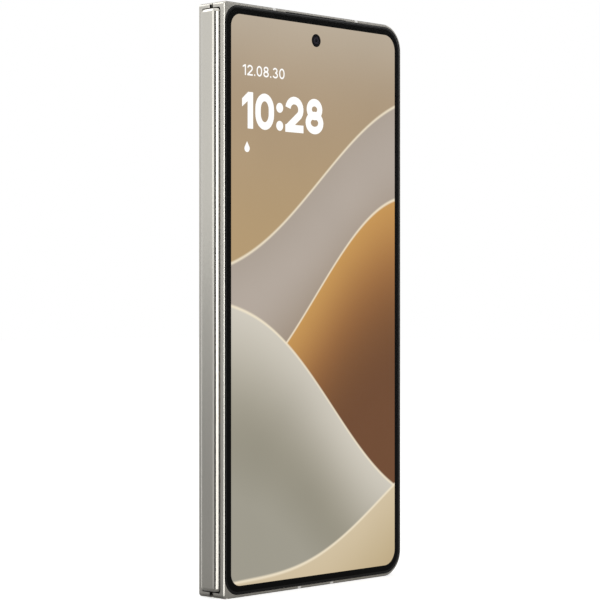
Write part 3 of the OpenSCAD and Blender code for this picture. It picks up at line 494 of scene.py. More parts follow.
# The keys' middle depth, width and running gap, and each key's middle height and length
KEY_W = 2.45
KEY_T = 2.0
KEY_GAP = 0.24
POWER = (96.0, 11.0)
VOLUME = (118.0, 22.0)


def key_slot(name, z, length):
    """A key's slot through the free edge."""
    rings = []
    for depth, grow in reversed(flared(0.1)):
        line = stadium(z, KEY_W, length + KEY_GAP + 2 * grow, KEY_T + KEY_GAP + 2 * grow)
        rings.append([half_point(REAR, HALF_W - depth, w, height) for height, w in line])
    return loft(name, rings, [])


# The room behind the outer pane, and the earpiece slit beside its top edge
SCREEN_BAY = (2.3, 3.6, WALL), (70.0, BAY_DEPTH, HEIGHT - WALL)
EARPIECE_SLIT = (23.75, BAY_DEPTH, 159.24), (48.25, OUTSIDE, 159.42)
# Openings in the ends: their middle (u, w), then their length and width
SPEAKER_U = 47
SPEAKER_PITCH = 2.2
SPEAKER_HOLES = 6
SOCKET = (36, 2.425)
SOCKET_MOUTH = (8.74, 2.96)
SOCKET_BAY = (SOCKET[0] - 5.2, 0.74, 1.7), (SOCKET[0] + 5.2, 2.3, 9.2)
TRAY = (27, 2.1)
TRAY_MOUTH = (10.8, 1.2)

front_frame = frame_blank("front_frame_shell", FRONT, [satin_metal, bright_metal, gap_shade_black])
carve(front_frame, common_cuts(FRONT) + band_boxes(FRONT, TOP_BANDS, FRONT_BANDS) + [
    half_box("screen bay", FRONT, *SCREEN_BAY),
    half_box("earpiece slit", FRONT, *EARPIECE_SLIT),
])
paint_gap_shade(front_frame, FRONT)
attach(front_frame, "front_half")
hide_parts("front_frame")

rear_frame = frame_blank("rear_frame_shell", REAR, [satin_metal, bright_metal, gap_shade_black])
# A hole is longer than it is wide by a hair, so that the two halves of its outline stay apart
speaker_holes = [
    end_slot("speaker hole", REAR, (SPEAKER_U + SPEAKER_PITCH * n, KEY_W), (1.0001, 1.0), flared(0.1))
    for n in range(SPEAKER_HOLES)
]
carve(rear_frame, common_cuts(REAR) + band_boxes(REAR, TOP_BANDS, REAR_BANDS) + speaker_holes + [
    end_slot("socket", REAR, SOCKET, SOCKET_MOUTH, flared(0.15)),
    half_box("socket bay", REAR, *SOCKET_BAY),
    end_slot("tray slot", REAR, TRAY, TRAY_MOUTH, [(HEIGHT - z, grow) for z, grow in flared(0.05)]),
    key_slot("power slot", *POWER),
    key_slot("volume slot", *VOLUME),
])
paint_gap_shade(rear_frame, REAR)
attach(rear_frame, "rear_half")
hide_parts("rear_frame")

# Antenna bands: plastic cast into slots in the metal so that the aerials inside can work.
# They are ground flush with the frame and are close to its colour.
def speckle_group():
    """A fine speckle, as the height of tiny bumps and as a mix of two tones."""
    group, entry, leave = new_group(
        "Speckle",
        [("Speckles per metre", "NodeSocketFloat", 1000.0), ("Detail", "NodeSocketFloat", 2.0),
         ("First tone", "NodeSocketColor", (0.5, 0.5, 0.5, 1)),
         ("Second tone", "NodeSocketColor", (0.5, 0.5, 0.5, 1))],
        [("Colour", "NodeSocketColor"), ("Height", "NodeSocketFloat")],
    )
    place = node(group, "ShaderNodeTexCoord")
    noise = node(group, "ShaderNodeTexNoise")
    tint = node(group, "ShaderNodeMix", data_type="RGBA")
    wire(group, [
        (place, "Object", noise, "Vector"), (entry, "Speckles per metre", noise, "Scale"),
        (entry, "Detail", noise, "Detail"), (noise, "Fac", leave, "Height"), (noise, "Fac", tint, 0),
        (entry, "First tone", tint, FIRST), (entry, "Second tone", tint, SECOND),
        (tint, MIXED, leave, "Colour"),
    ])
    return group


speckle = speckle_group()


def add_speckle(tree, **values):
    """Places the speckle in a material, with its inputs given in words joined by underscores."""
    values = {name.replace("_", " "): value for name, value in values.items()}
    return node(tree, "ShaderNodeGroup", node_tree=speckle, values=values)


band_plastic, tree, shader = start_material("antenna band plastic", (0.8, 0.79, 0.76), 0.45)
add_relief(tree, shader, add_speckle(tree, Speckles_per_metre=4000.0), "Height", 0.05)


def antenna_bands(name, side, top, bottom, body, replaced):
    """The frame's form kept only where the bands lie."""
    made = frame_blank(name, side, [band_plastic, band_plastic])
    joined = band_boxes(side, top, bottom)
    mesh = bmesh.new()
    for cutter in joined:
        mesh.from_mesh(cutter.data)
    keep = joined[0]
    mesh.to_mesh(keep.data)
    mesh.free()
    for cutter in joined[1:]:
        bpy.data.objects.remove(cutter)
    carve(made, [keep], "INTERSECT")
    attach(made, body)
    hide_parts(replaced)


antenna_bands("front_bands", FRONT, TOP_BANDS, FRONT_BANDS, "front_half", "front_antenna_bands")
antenna_bands("rear_bands", REAR, TOP_BANDS, REAR_BANDS, "rear_half", "rear_antenna_bands")

# Spine: the hinge's outer cover, one strip of aluminium with a gently rounded back, round shoulders
# that slide into both halves as the phone opens, and a bevel at each end.
SPINE_BACK = -3.2
SPINE_LIP = -1.87
SPINE_R = 2.597
SPINE_AXIS = (AXIS_U - SETBACK, GAP / 2 + AXIS_W)
SPINE_END = 1.93
SPINE_WALL = 0.35
# The bevel: heights above the spine's end, and how far the section is drawn in there
SPINE_BEVEL = [(0.0, 0.45), (0.03, 0.40), (0.12, 0.31), (0.55, 0.10), (0.72, 0.03), (0.9, 0.0)]
# The slope at which the back meets the shoulders, and the share of its fall that is one even arch
SHOULDER_TURN = 38
DOME = 0.3


def spine_ring(radius, back, lip, steps=16):
    """The spine's section: a back that rounds off more and more into arcs about the two folding axes."""
    x, y = SPINE_AXIS
    first = math.degrees(math.acos(max(-1, (lip - x) / radius)))
    side = arc(x, y, radius, radius, first, 180 - SHOULDER_TURN, steps)
    s, h = side[-1]
    fall = s - back
    power = (h * math.tan(math.radians(SHOULDER_TURN)) / fall - 2 * DOME) / (1 - DOME)
    for n in range(1, steps):
        t = 1 - n / steps
        side.append((back + fall * ((1 - DOME) * t ** power + DOME * t * t), h * t))
    return side + [(s, -h) for s, h in reversed(side)]


def spine_point(s, h, z):
    """A point of the hinge, from its middle and the bottom, in the row frame."""
    return Vector((s + SHIFT_X, h + SHIFT_Y, z)) * MM


def spine_solid(name, radius, back, lip, levels, materials):
    """A length of spine: levels are (height, how far the section is drawn in)."""
    rings = []
    for z, inset in levels:
        rings.append([spine_point(s, h, z) for s, h in spine_ring(radius - inset, back + inset, lip)])
    return loft(name, rings, materials)


levels = [(SPINE_END + rise, inset) for rise, inset in SPINE_BEVEL]
levels += [(HEIGHT - z, inset) for z, inset in reversed(levels)]
spine = spine_solid("spine_shell", SPINE_R, SPINE_BACK, SPINE_LIP, levels, [bright_metal])
low = SPINE_END + 1
hollow = [(low, 0), (HEIGHT - low, 0)]
carve(spine, [spine_solid("spine hollow", SPINE_R - SPINE_WALL, SPINE_BACK + SPINE_WALL, 1.0, hollow, [])])
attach(spine, "hinge_spine")
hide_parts("spine_cover")

# Outer glass: one toughened pane with a gently curved edge, let into the front frame. Black ink
# is printed round its back, and the lit outer screen is bonded to it inside that border.
GLASS_FACE = 4.68
# The lit screen's sides and corner radii, and the middle and radius of the camera's opening
DISPLAY = (2.76, 69.4, 3.15, 156.95, 3.4, 4.4)
CAMERA_HOLE = (36.0, 152.6, 1.82)


def wiped_gloss_group():
    """Faint uneven gloss, as glass has after wiping."""
    group, entry, leave = new_group(
        "Wiped gloss",
        [("Patches per metre", "NodeSocketFloat", 60.0), ("Base", "NodeSocketFloat", 0.05),
         ("Spread", "NodeSocketFloat", 0.03)],
        [("Roughness", "NodeSocketFloat")],
    )
    place = node(group, "ShaderNodeTexCoord")
    patches = node(group, "ShaderNodeTexNoise", values={"Detail": 4.0, "Roughness": 0.65, "Distortion": 0.6})
    spread = node(group, "ShaderNodeMath", operation="MULTIPLY_ADD")
    wire(group, [
        (place, "Object", patches, "Vector"), (entry, "Patches per metre", patches, "Scale"),
        (patches, "Fac", spread, 0), (entry, "Spread", spread, 1), (entry, "Base", spread, 2),
        (spread, 0, leave, "Roughness"),
    ])
    return group


wiped_gloss = wiped_gloss_group()


def add_wiped_gloss(tree, shader, base, spread):
    """Gives a surface the uneven gloss of wiped glass."""
    gloss = node(tree, "ShaderNodeGroup", node_tree=wiped_gloss, values={"Base": base, "Spread": spread})
    wire(tree, [(gloss, "Roughness", shader, "Roughness")])


def gloss_finish(name, colour, base, spread, **sockets):
    """Glass or gloss plastic over an opaque colour."""
    material, tree, shader = start_material(name, colour, base, **sockets)
    add_wiped_gloss(tree, shader, base, spread)
    return material


black_glass = gloss_finish(
    "glass over black ink", (0.004, 0.004, 0.004), 0.04, 0.04, IOR=1.5, Specular_IOR_Level=0.05)
# Turns metres into widths of the half, in which the picture is laid out
WIDTHS = 1 / (HALF_W * MM)
# A fold's soft rim, the depth and width of the bright line along its crest, and how deep its colours run
CREST_RIM = 0.006
CREST_LINE = (0.004, 0.008)
CREST_COLOUR = (0.86, 0.76, 0.58)
FOLD_DEPTH = 0.62


def picture_material():
    """The lit screen: overlapping folds of silk in sand, bronze and grey cream, with thin bright crests."""
    material, tree, shader = start_material(
        "lit outer screen", (0.004, 0.004, 0.004), 0.04, IOR=1.5, Specular_IOR_Level=0.1)
    place = node(tree, "ShaderNodeTexCoord")
    split = node(tree, "ShaderNodeSeparateXYZ")
    wire(tree, [(place, "Object", split, "Vector")])

    def feed(socket, value):
        """Links an output to a socket, or sets the socket to a number or a colour."""
        if isinstance(value, bpy.types.NodeSocket):
            tree.links.new(value, socket)
        elif isinstance(value, tuple):
            socket.default_value = (*value, 1)
        else:
            socket.default_value = value

    def reckon(operation, *values, clamp=False):
        """The outcome of one step of arithmetic on outputs and numbers."""
        made = node(tree, "ShaderNodeMath", operation=operation, use_clamp=clamp)
        for n, value in enumerate(values):
            feed(made.inputs[n], value)
        return made.outputs[0]

    # Places on the screen, from its hinge side and from the phone's foot
    across = reckon("MULTIPLY_ADD", split.outputs["X"], WIDTHS, 0.493)
    up = reckon("MULTIPLY", split.outputs["Z"], WIDTHS)

    def crest(level, slope, swing, pace, start):
        """A mask that is 1 below a wavy line, with a soft rim, and the depth below that line."""
        wave = reckon("SINE", reckon("MULTIPLY_ADD", across, pace, start))
        line = reckon("MULTIPLY_ADD", across, slope, reckon("MULTIPLY_ADD", wave, swing, level))
        # Square to the sloping line a depth is shorter than upright
        depth = reckon("MULTIPLY", reckon("SUBTRACT", line, up), 0.85)
        return reckon("MULTIPLY", depth, 1 / CREST_RIM, clamp=True), depth

    def blend_colours(factor, first, second):
        """A share of the second colour over the first."""
        made = node(tree, "ShaderNodeMix", data_type="RGBA", clamp_factor=True)
        for n, value in ((0, factor), (FIRST, first), (SECOND, second)):
            feed(made.inputs[n], value)
        return made.outputs[MIXED]

    def ramp(value, low, high, colours):
        """Even colour stops for a value that runs from low to high."""
        scaled = node(tree, "ShaderNodeMapRange", values={1: low, 2: high})
        tree.links.new(value, scaled.inputs[0])
        made = node(tree, "ShaderNodeValToRGB")
        made.color_ramp.interpolation = "B_SPLINE"
        stops = made.color_ramp.elements
        while len(stops) < len(colours):
            stops.new(0.5)
        for n, colour in enumerate(colours):
            stops[n].position = n / (len(colours) - 1)
            stops[n].color = (*colour, 1)
        tree.links.new(scaled.outputs[0], made.inputs[0])
        return made.outputs[0]

    def rim(depth, below, width):
        """A thin line that follows a crest, a little below it."""
        off = reckon("ABSOLUTE", reckon("SUBTRACT", depth, below))
        return reckon("SUBTRACT", 1.0, reckon("MULTIPLY", off, 1 / width), clamp=True)

    picture = ramp(up, 1.2, 2.2, (
        (0.46, 0.32, 0.165), (0.45, 0.32, 0.175), (0.41, 0.3, 0.185), (0.41, 0.31, 0.205), (0.5, 0.43, 0.34),
    ))
    # Each fold's level, slope, swing, pace and start, then its colours from the crest downwards
    silk = [
        ((1.36, 0.42, 0.13, 3.6, 4.4),
         ((0.4, 0.34, 0.285), (0.47, 0.41, 0.36), (0.33, 0.26, 0.195), (0.3, 0.22, 0.15))),
        ((0.98, 0.3, 0.25, 3.4, 4.6),
         ((0.6, 0.33, 0.1), (0.34, 0.15, 0.05), (0.18, 0.08, 0.033), (0.15, 0.065, 0.03))),
        ((1.06, -0.62, 0.1, 4.6, 0.4),
         ((0.66, 0.62, 0.54), (0.42, 0.39, 0.32), (0.27, 0.25, 0.19), (0.36, 0.34, 0.28))),
        ((0.02, 0.34, 0.07, 4.2, 2.6),
         ((0.66, 0.55, 0.38), (0.52, 0.41, 0.24), (0.44, 0.33, 0.18), (0.4, 0.3, 0.17))),
    ]
    for line, colours in silk:
        below, depth = crest(*line)
        picture = blend_colours(below, picture, ramp(depth, 0.0, FOLD_DEPTH, colours))
        picture = blend_colours(rim(depth, *CREST_LINE), picture, CREST_COLOUR)
    grain = node(tree, "ShaderNodeTexNoise", values={"Scale": 26.0, "Detail": 2.0})
    veil = reckon("MULTIPLY_ADD", grain.outputs["Fac"], 0.18, 0.91)
    shaded = node(tree, "ShaderNodeHueSaturation")
    feed(shaded.inputs["Color"], picture)
    feed(shaded.inputs["Value"], veil)
    wire(tree, [(place, "Object", grain, "Vector"), (shaded, "Color", shader, "Emission Color")])
    shader.inputs["Emission Strength"].default_value = 1.0
    add_wiped_gloss(tree, shader, 0.04, 0.03)
    return material


lit_screen = picture_material()

# The pane's edge: how far each ring is drawn in, and its depth
PANE_EDGE = [
    (0.0, 4.1), (0.0, 4.46), (0.03, 4.53), (0.1, 4.585), (0.24, 4.63), (0.45, 4.66), (0.75, GLASS_FACE),
]


def pane_rings(side):
    """The rings of a pane whose face edge is ground round."""
    return [[half_point(side, u, w, z) for u, z in glass_outline(-d)] for d, w in PANE_EDGE]


glass_edge = gloss_finish(
    "ground glass edge", (0.006, 0.006, 0.006), 0.1, 0.05, IOR=1.5, Specular_IOR_Level=0.25)


def cover_pane():
    """The outer pane, with its ground edge, its ink border and its screen as faces of one skin."""
    display = [half_point(FRONT, u, GLASS_FACE, z) for u, z in rounded(*DISPLAY)]
    made = loft("cover_pane", pane_rings(FRONT) + [display], [black_glass, lit_screen, glass_edge])
    for polygon in made.data.polygons:
        if abs(polygon.center.y - display[0].y) > 1e-7:
            polygon.material_index = 2
        elif len(polygon.vertices) > 4:
            polygon.material_index = 1
    return made


pane = cover_pane()
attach(pane, "front_half")
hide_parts("cover_glass")


def dress(names, material):
    """Gives carried-over CAD nodes their material, in every slot."""
    for name in names:
        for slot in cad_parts[name].material_slots:
            slot.material = material


dress(["cover_screen"], lit_screen)

# Clock and date: plain numerals and a small weather drop, shown by the outer screen and drawn as
# thin flat shapes on the glass so that they stay crisp.
numeral_light, tree, shader = start_material("lit numerals", (0.05, 0.05, 0.05), 0.05, Specular_IOR_Level=0.3)
shader.inputs["Emission Color"].default_value = (1, 0.99, 0.97, 1)
shader.inputs["Emission Strength"].default_value = 1.0


def numeral(letter, w, h, t):
    """A numeral of outer size w by h with strokes t wide: stroke centre lines, and filled areas."""
    half = t / 2
    middle, reach = w / 2, (w - t) / 2
    if letter == "0":
        high = 1.25 * reach
        top = arc(middle, h - half - high, reach, high, 0, 180)
        loop = top + arc(middle, half + high, reach, high, 180, 360)
        return [loop + [loop[0]]], []
    if letter == "1":
        stem = [(w - t, 0), (w, 0), (w, h)]
        flag = [(w - 0.9 * t, h), (0, h - 0.9 * t), (0, h - 1.95 * t), (w - t, h - 1.2 * t)]
        return [], [stem + flag]
    if letter == "2":
        high = 0.25 * h
        bow = arc(middle, h - half - high, reach, high, 172, -38)
        return [bow + [(0.36 * t, half)], [(0, half), (w, half)]], []
    if letter == "3":
        high, low = 0.2 * h, 0.212 * h
        upper = arc(middle - 0.02 * w, h - half - high, reach - 0.06 * w, high, 165, -88)
        lower = arc(middle, half + low, reach, low, 88, -165)
        return [upper, lower], []
    # An eight: a smaller loop over a larger one
    high, low = 0.195 * h, 0.212 * h
    upper = arc(middle, h - half - high, reach - 0.06 * w, high, 0, 360, 28)
    lower = arc(middle, half + low, reach, low, 0, 360, 28)
    return [upper, lower], []


def ribbon(line, width):
    """The two sides of a flat stroke with square ends along a line of (u, z) points."""
    closed = math.dist(line[0], line[-1]) < 1e-6
    made = []
    for n, (u, z) in enumerate(line):
        before, after = line[max(n - 1, 0)], line[min(n + 1, len(line) - 1)]
        if closed and n in (0, len(line) - 1):
            before, after = line[-2], line[1]
        du, dz = after[0] - before[0], after[1] - before[1]
        reach = width / 2 / math.hypot(du, dz)
        made.append(((u - dz * reach, z + du * reach), (u + dz * reach, z - du * reach)))
    return made


MARK_FACE = GLASS_FACE + 0.012


def light_marks(name, strokes, areas, width):
    """Flat lit shapes lying on the outer glass."""
    points, faces = [], []

    def add(u, z):
        """The number of a new point on the glass."""
        points.append(half_point(FRONT, u, MARK_FACE, z))
        return len(points) - 1

    for line in strokes:
        index = [(add(*a), add(*b)) for a, b in ribbon(line, width)]
        for first, second in zip(index, index[1:]):
            faces.append((first[0], first[1], second[1], second[0]))
    for area in areas:
        faces.append(tuple(add(*p) for p in area))
    mesh = bpy.data.meshes.new(name)
    mesh.from_pydata([tuple(p) for p in points], [], faces)
    mesh.materials.append(numeral_light)
    made = bpy.data.objects.new(name, mesh)
    bpy.context.scene.collection.objects.link(made)
    for polygon in mesh.polygons:
        if polygon.normal.y > 0:
            polygon.flip()
    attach(made, "front_half")


def row_of_numerals(name, text, start, size, t, gap):
    """Lit numerals, colons and points in a row, with strokes t wide."""
    (u, z), (w, h) = start, size
    strokes, areas = [], []
    for letter in text:
        width = {"1": 0.58 * w, ":": 1.3 * t, ".": 1.15 * t}.get(letter, w)
        if letter == ":":
            areas += [circle(u + width / 2, z + level * h, width / 2, 24) for level in (0.15, 0.65)]
        elif letter == ".":
            areas.append(circle(u + width / 2, z + width / 2, width / 2, 24))
        else:
            lines, shapes = numeral(letter, width, h, t)
            strokes += [[(u + a, z + b) for a, b in line] for line in lines]
            areas += [[(u + a, z + b) for a, b in shape] for shape in shapes]
        u += width + gap
    light_marks(name, strokes, areas, t)


# Each row's start and numeral size, its strokes' width and the gap between numerals
row_of_numerals("clock_numerals", "10:28", (6.85, 126.35), (7.25, 9.9), 2.1, 0.85)
row_of_numerals("date_numerals", "12.08.30", (7.1, 140.7), (2.1, 2.9), 0.42, 0.5)
drop = arc(8.75, 120.95, 1.0, 1.0, 150, 390, 20) + [(8.75, 122.9)]
light_marks("weather_drop", [], [drop], 0.5)

# Selfie camera: a small coated lens in a black barrel, fixed behind the pane. It looks out
# through a round opening in the outer screen.
lens_black = gloss_finish(
    "camera window", (0.006, 0.006, 0.008), 0.03, 0.02, IOR=1.52, Specular_IOR_Level=0.08)
lens_blue, tree, shader = start_material(
    "coated lens", (0.01, 0.011, 0.016), 0.05, IOR=1.7, Specular_IOR_Level=0.16)
# Painted reflection: the lens colour turns a lighter purple towards grazing views, as its coating's
# reflection would
painted_grazing_reflection = node(tree, "ShaderNodeLayerWeight", values={"Blend": 0.35})
tint = node(tree, "ShaderNodeMix", data_type="RGBA", values={
    FIRST: (0.009, 0.011, 0.018, 1), SECOND: (0.03, 0.016, 0.035, 1)})
wire(tree, [(painted_grazing_reflection, "Facing", tint, 0), (tint, MIXED, shader, "Base Color")])


def turned(name, side, centre, rings, materials, body, replaced=(), hollow=False):
    """A turned piece on a body: its rings are (radius, depth, material); hollow makes it a loop."""
    steps = 64
    lines = []
    for radius, depth, _ in rings:
        lines.append([half_point(side, u, depth, z) for u, z in circle(*centre, radius, steps)])
    finishes = [finish for _, _, finish in rings]
    if hollow:
        lines.append(lines[0])
        strips = finishes[1:] + finishes[:1]
    else:
        strips = finishes[1:]
    made = loft(name, lines, materials, capped=not hollow)
    faces = [finish for finish in strips for _ in range(steps)] + [finishes[0], finishes[-1]]
    for polygon, finish in zip(made.data.polygons, faces):
        polygon.material_index = finish
    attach(made, body)
    if replaced:
        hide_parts(*replaced)


hole_u, hole_z, hole_r = CAMERA_HOLE
turned("selfie_window", FRONT, (hole_u, hole_z), [
    (hole_r, GLASS_FACE - 0.01, 0), (hole_r, GLASS_FACE + 0.006, 0), (1.02, GLASS_FACE + 0.008, 0),
    (0.98, GLASS_FACE + 0.01, 1), (0.5, GLASS_FACE + 0.012, 1), (0.46, GLASS_FACE + 0.012, 0),
    (0.05, GLASS_FACE + 0.013, 0),
], [lens_black, lens_blue], "front_half")

# Earpiece: a slit between the glass and the frame's top edge, closed by fine black mesh that is
# glued in from inside. The same mesh covers the loudspeaker.
mesh_black, tree, shader = start_material("woven mesh", (0.02, 0.02, 0.022), 0.6)
place = node(tree, "ShaderNodeTexCoord")
weave = node(tree, "ShaderNodeTexWave", wave_type="BANDS", bands_direction="X", values={"Scale": 1800.0})
wire(tree, [(place, "Object", weave, "Vector")])
add_relief(tree, shader, weave, "Fac", 0.6, 0.00004)
dress(["earpiece_mesh", "earpiece", "loudspeaker"], mesh_black)

# Inner screen: one flexible plastic panel, black while the phone is shut. Its two flat parts are bonded to
# the halves, and its middle is drawn folded into a drop round the spine, as it lies while the phone is shut.
flex_film = gloss_finish(
    "flexible screen film", (0.005, 0.005, 0.0055), 0.08, 0.05, IOR=1.5, Specular_IOR_Level=0.03)
dress(["rear_screen", "front_screen"], flex_film)
bezel_rubber, tree, shader = start_material("soft bezel", (0.012, 0.012, 0.013), 0.65)
add_relief(tree, shader, add_speckle(tree, Speckles_per_metre=6000.0), "Height", 0.15)
dress(["rear_screen_bezel", "front_screen_bezel"], bezel_rubber)

# Where the bending starts and ends, and the screen's two skins, from the spine's middle
BEND_START = (2.5, 2.0)
BEND_END = (-0.2, -0.3)
SCREEN_SKINS = (0.15, 0.75)
FOLD_END = 1.75


def bend_share(s, h):
    """How far a point follows the spine: an eased share along the line from where the bending starts to where
    it ends.
    """
    du, dv = BEND_END[0] - BEND_START[0], BEND_END[1] - BEND_START[1]
    t = ((s - BEND_START[0]) * du + (h - BEND_START[1]) * dv) / (du * du + dv * dv)
    t = min(max(t, 0.0), 1.0)
    return t * t * (3 - 2 * t)


def folded_place(u, w, share):
    """Where a point of the open flat screen lies once its share of the quarter turn is taken back."""
    x, y = SPINE_AXIS
    a, b = u - SETBACK - x, GAP / 2 + w - y
    turn = math.radians(90) * share
    return x + a * math.cos(turn) - b * math.sin(turn), y + a * math.sin(turn) + b * math.cos(turn)


def folded_line(w, reaches, scans=100):
    """The folded place of each point of one layer, following one branch from the middle outwards."""
    line, share = [], 1.0
    for u in reaches:
        def miss(value):
            """How far a share is from the one that its own place asks for."""
            return bend_share(*folded_place(u, w, value)) - value

        found = [value for value in (0.0, 1.0) if abs(miss(value)) < 1e-9]
        for n in range(scans):
            low, high = n / scans, (n + 1) / scans
            first = miss(low)
            if first * miss(high) >= 0:
                continue
            for _ in range(30):
                middle = (low + high) / 2
                if first * miss(middle) <= 0:
                    high = middle
                else:
                    low, first = middle, miss(middle)
            found.append((low + high) / 2)
        share = min(found, key=lambda value: abs(value - share))
        line.append(folded_place(u, w, share))
    return line


def fold_piece(name, side):
    """One half of the folded middle, from the spine's middle to the flat part."""
    # Points along the screen, closer together in the bend
    reaches = [0.1 * n for n in range(36)] + [3.6 + 0.5 * n for n in range(19)]
    inner, outer = [folded_line(w, reaches) for w in SCREEN_SKINS]
    section = inner + outer[::-1]
    rings = [[spine_point(s, side * h, z) for s, h in section] for z in (FOLD_END, HEIGHT - FOLD_END)]
    made = loft(name, rings, [flex_film], smooth=50)
    made.modifiers.clear()
    if side == REAR:
        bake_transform(made)
        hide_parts("screen_fold")
    else:
        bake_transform(made)


fold_piece("rear_fold_sheet", REAR)
fold_piece("front_fold_sheet", FRONT)
dress(["inner_camera"], lens_black)

# Back cover: an etched glass pane bonded into the rear frame, coloured from behind in the same
# champagne as the metal, with a silky surface.
back_colour = (0.6, 0.57, 0.5)
back_glass, tree, shader = start_material(
    "etched back glass", back_colour, 0.36, 0.35, IOR=1.5, Coat_Weight=0.25, Coat_Roughness=0.3)
grain = add_grain(tree, shader, back_colour, 0.36, 16000.0, 0.04, 0.02)
wire(tree, [(grain, "Colour", shader, "Base Color")])
back_cover = loft("back_cover_pane", pane_rings(REAR), [back_glass])
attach(back_cover, "rear_half")
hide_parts("rear_cover")

# Camera island: a raised aluminium plate on the back with three camera windows, each in its own
# polished ring, and a flash below them. It is machined in one piece and bonded over the cover.
ISLAND = (41.2, 66.2, 91.5, 153.5)
ISLAND_FACE = 6.4
LENS_U = 53.7
LENS_Z = (143.8, 126.2, 108.6)
FLASH_Z = 95.9
SEAT_R = 6.62
FLASH_SEAT_R = 2.0


def island_outline(d):
    """The island's outline, drawn in by d."""
    u0, u1, z0, z1 = ISLAND
    return rounded(u0 + d, u1 - d, z0 + d, z1 - d, 8 - d, 8 - d, 16)


# How far each ring of the island's side is drawn in, and its depth
ISLAND_SIDE = [
    (0.0, 4.685), (0.0, 4.9), (0.02, 5.0), (0.02, 5.75), (0.07, 5.98), (0.17, 6.17), (0.32, 6.3),
    (0.52, 6.375), (0.75, ISLAND_FACE),
]
island = plate("camera_island_plate", REAR, [(island_outline(d), w) for d, w in ISLAND_SIDE], [satin_metal])


def seat(z, radius, floor, steps):
    """The cutter of a round seat in the island."""
    ring = circle(LENS_U, z, radius, steps)
    return plate("seat", REAR, [(ring, floor), (ring, 8)], [])


carve(island, [seat(z, SEAT_R, 5.7, 96) for z in LENS_Z] + [seat(FLASH_Z, FLASH_SEAT_R, 5.8, 64)])
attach(island, "rear_half")
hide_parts("camera_island")

for n, z in enumerate(LENS_Z):
    # The polished ring: a flat top between two chamfers
    turned(f"camera_ring_{n + 1}", REAR, (LENS_U, z), [
        (7.5, ISLAND_FACE - 0.001, 0), (7.5, 6.72, 0), (7.44, 6.82, 0), (7.3, 6.89, 0), (6.95, 6.9, 0),
        (6.72, 6.87, 0), (6.63, 6.78, 0), (6.6, 6.6, 0), (6.6, 6.36, 0),
    ], [bright_metal], "rear_half", ["camera_rings"] if n == 0 else (), hollow=True)
    # The window, with the dark stepped barrel and the coated lens seen through it
    turned(f"camera_window_{n + 1}", REAR, (LENS_U, z), [
        (6.59, 5.8, 0), (6.59, 6.34, 0), (6.45, 6.39, 0), (4.75, 6.392, 0), (4.7, 6.393, 2),
        (4.35, 6.394, 2), (4.3, 6.395, 0), (3.5, 6.396, 0), (3.45, 6.397, 2), (3.3, 6.397, 2),
        (3.25, 6.398, 1), (1.3, 6.399, 1), (1.25, 6.3995, 0), (0.05, ISLAND_FACE, 0),
    ], [lens_black, lens_blue, bright_metal], "rear_half",
        ["camera_windows"] if n == 0 else ())


def speckled(name, colour, other, scale, roughness, metallic=0.0, detail=3.0, **sockets):
    """A plain surface broken up by a fine two-tone speckle."""
    material, tree, shader = start_material(name, colour, roughness, metallic, **sockets)
    tones = add_speckle(
        tree, Speckles_per_metre=scale, Detail=detail, First_tone=(*colour, 1), Second_tone=(*other, 1))
    wire(tree, [(tones, "Colour", shader, "Base Color")])
    return material


flash_glass = speckled(
    "flash lens", (0.86, 0.82, 0.66), (0.8, 0.72, 0.4), 1500.0, 0.25,
    detail=2.0, IOR=1.5, Coat_Weight=0.8, Coat_Roughness=0.05)
FLASH_R = 1.95
ridges = [(FLASH_R, 5.9, 0), (FLASH_R, 6.36, 0)]
for n in range(7):
    ridges += [(1.85 - 0.24 * n, 6.39, 0), (1.75 - 0.24 * n, 6.34, 0)]
turned(
    "flash_lens", REAR, (LENS_U, FLASH_Z), ridges, [flash_glass], "rear_half", ["flash_window"])

# Side keys: a power button and a volume rocker of aluminium, milled, polished at the rim and set in
# slots of the free edge, where each rests on a switch of the strip behind it.

# How far out each ring of a key's cap lies, and how far it is drawn in
KEY_CAP = [(71.2, 0.0), (72.38, 0.0), (72.46, 0.03), (72.52, 0.09), (72.55, 0.2)]


def side_key(name, z, length, body, replaced):
    """A key's cap, whose rim is rounded off outside the frame."""
    rings = []
    for u, inset in KEY_CAP:
        line = stadium(z, KEY_W, length - 2 * inset, KEY_T - 2 * inset)
        rings.append([half_point(REAR, u, w, height) for height, w in line])
    made = loft(name, rings, [bright_metal])
    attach(made, body)
    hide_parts(replaced)


side_key("power_key_cap", *POWER, "power_key", "power_button")
side_key("volume_key_cap", *VOLUME, "volume_key", "volume_rocker")

# Edge fittings: the card tray, whose cap is anodised like the frame, and the charging socket's
# drawn steel shell. The same bright steel is used for the reader, the shields and the motor.
dress(["card_tray"], satin_metal)
socket_steel = metal_finish("drawn steel", (0.36, 0.36, 0.37), 0.3, pits=5000.0, bump=0.03)
dress(["charging_socket", "card_reader", "board_shields", "vibration_motor"], socket_steel)

# Hinge works: steel blocks, brackets, gears and plates inside the spine and both halves. They are
# held by screws and shafts, and are seen only through the running gaps.
hinge_steel = metal_finish("ground hinge steel", (0.3, 0.3, 0.31), 0.35, pits=3500.0, bump=0.05)
hinge_works = ["hinge_blocks", "sync_block", "gear_shafts", "friction_rings", "screen_support"]
for half in ("rear", "front"):
    works = ("hinge_brackets", "bracket_screws", "idler_gear", "sync_arm", "wing_plate")
    hinge_works += [f"{half}_{work}" for work in works]
dress(hinge_works, hinge_steel)

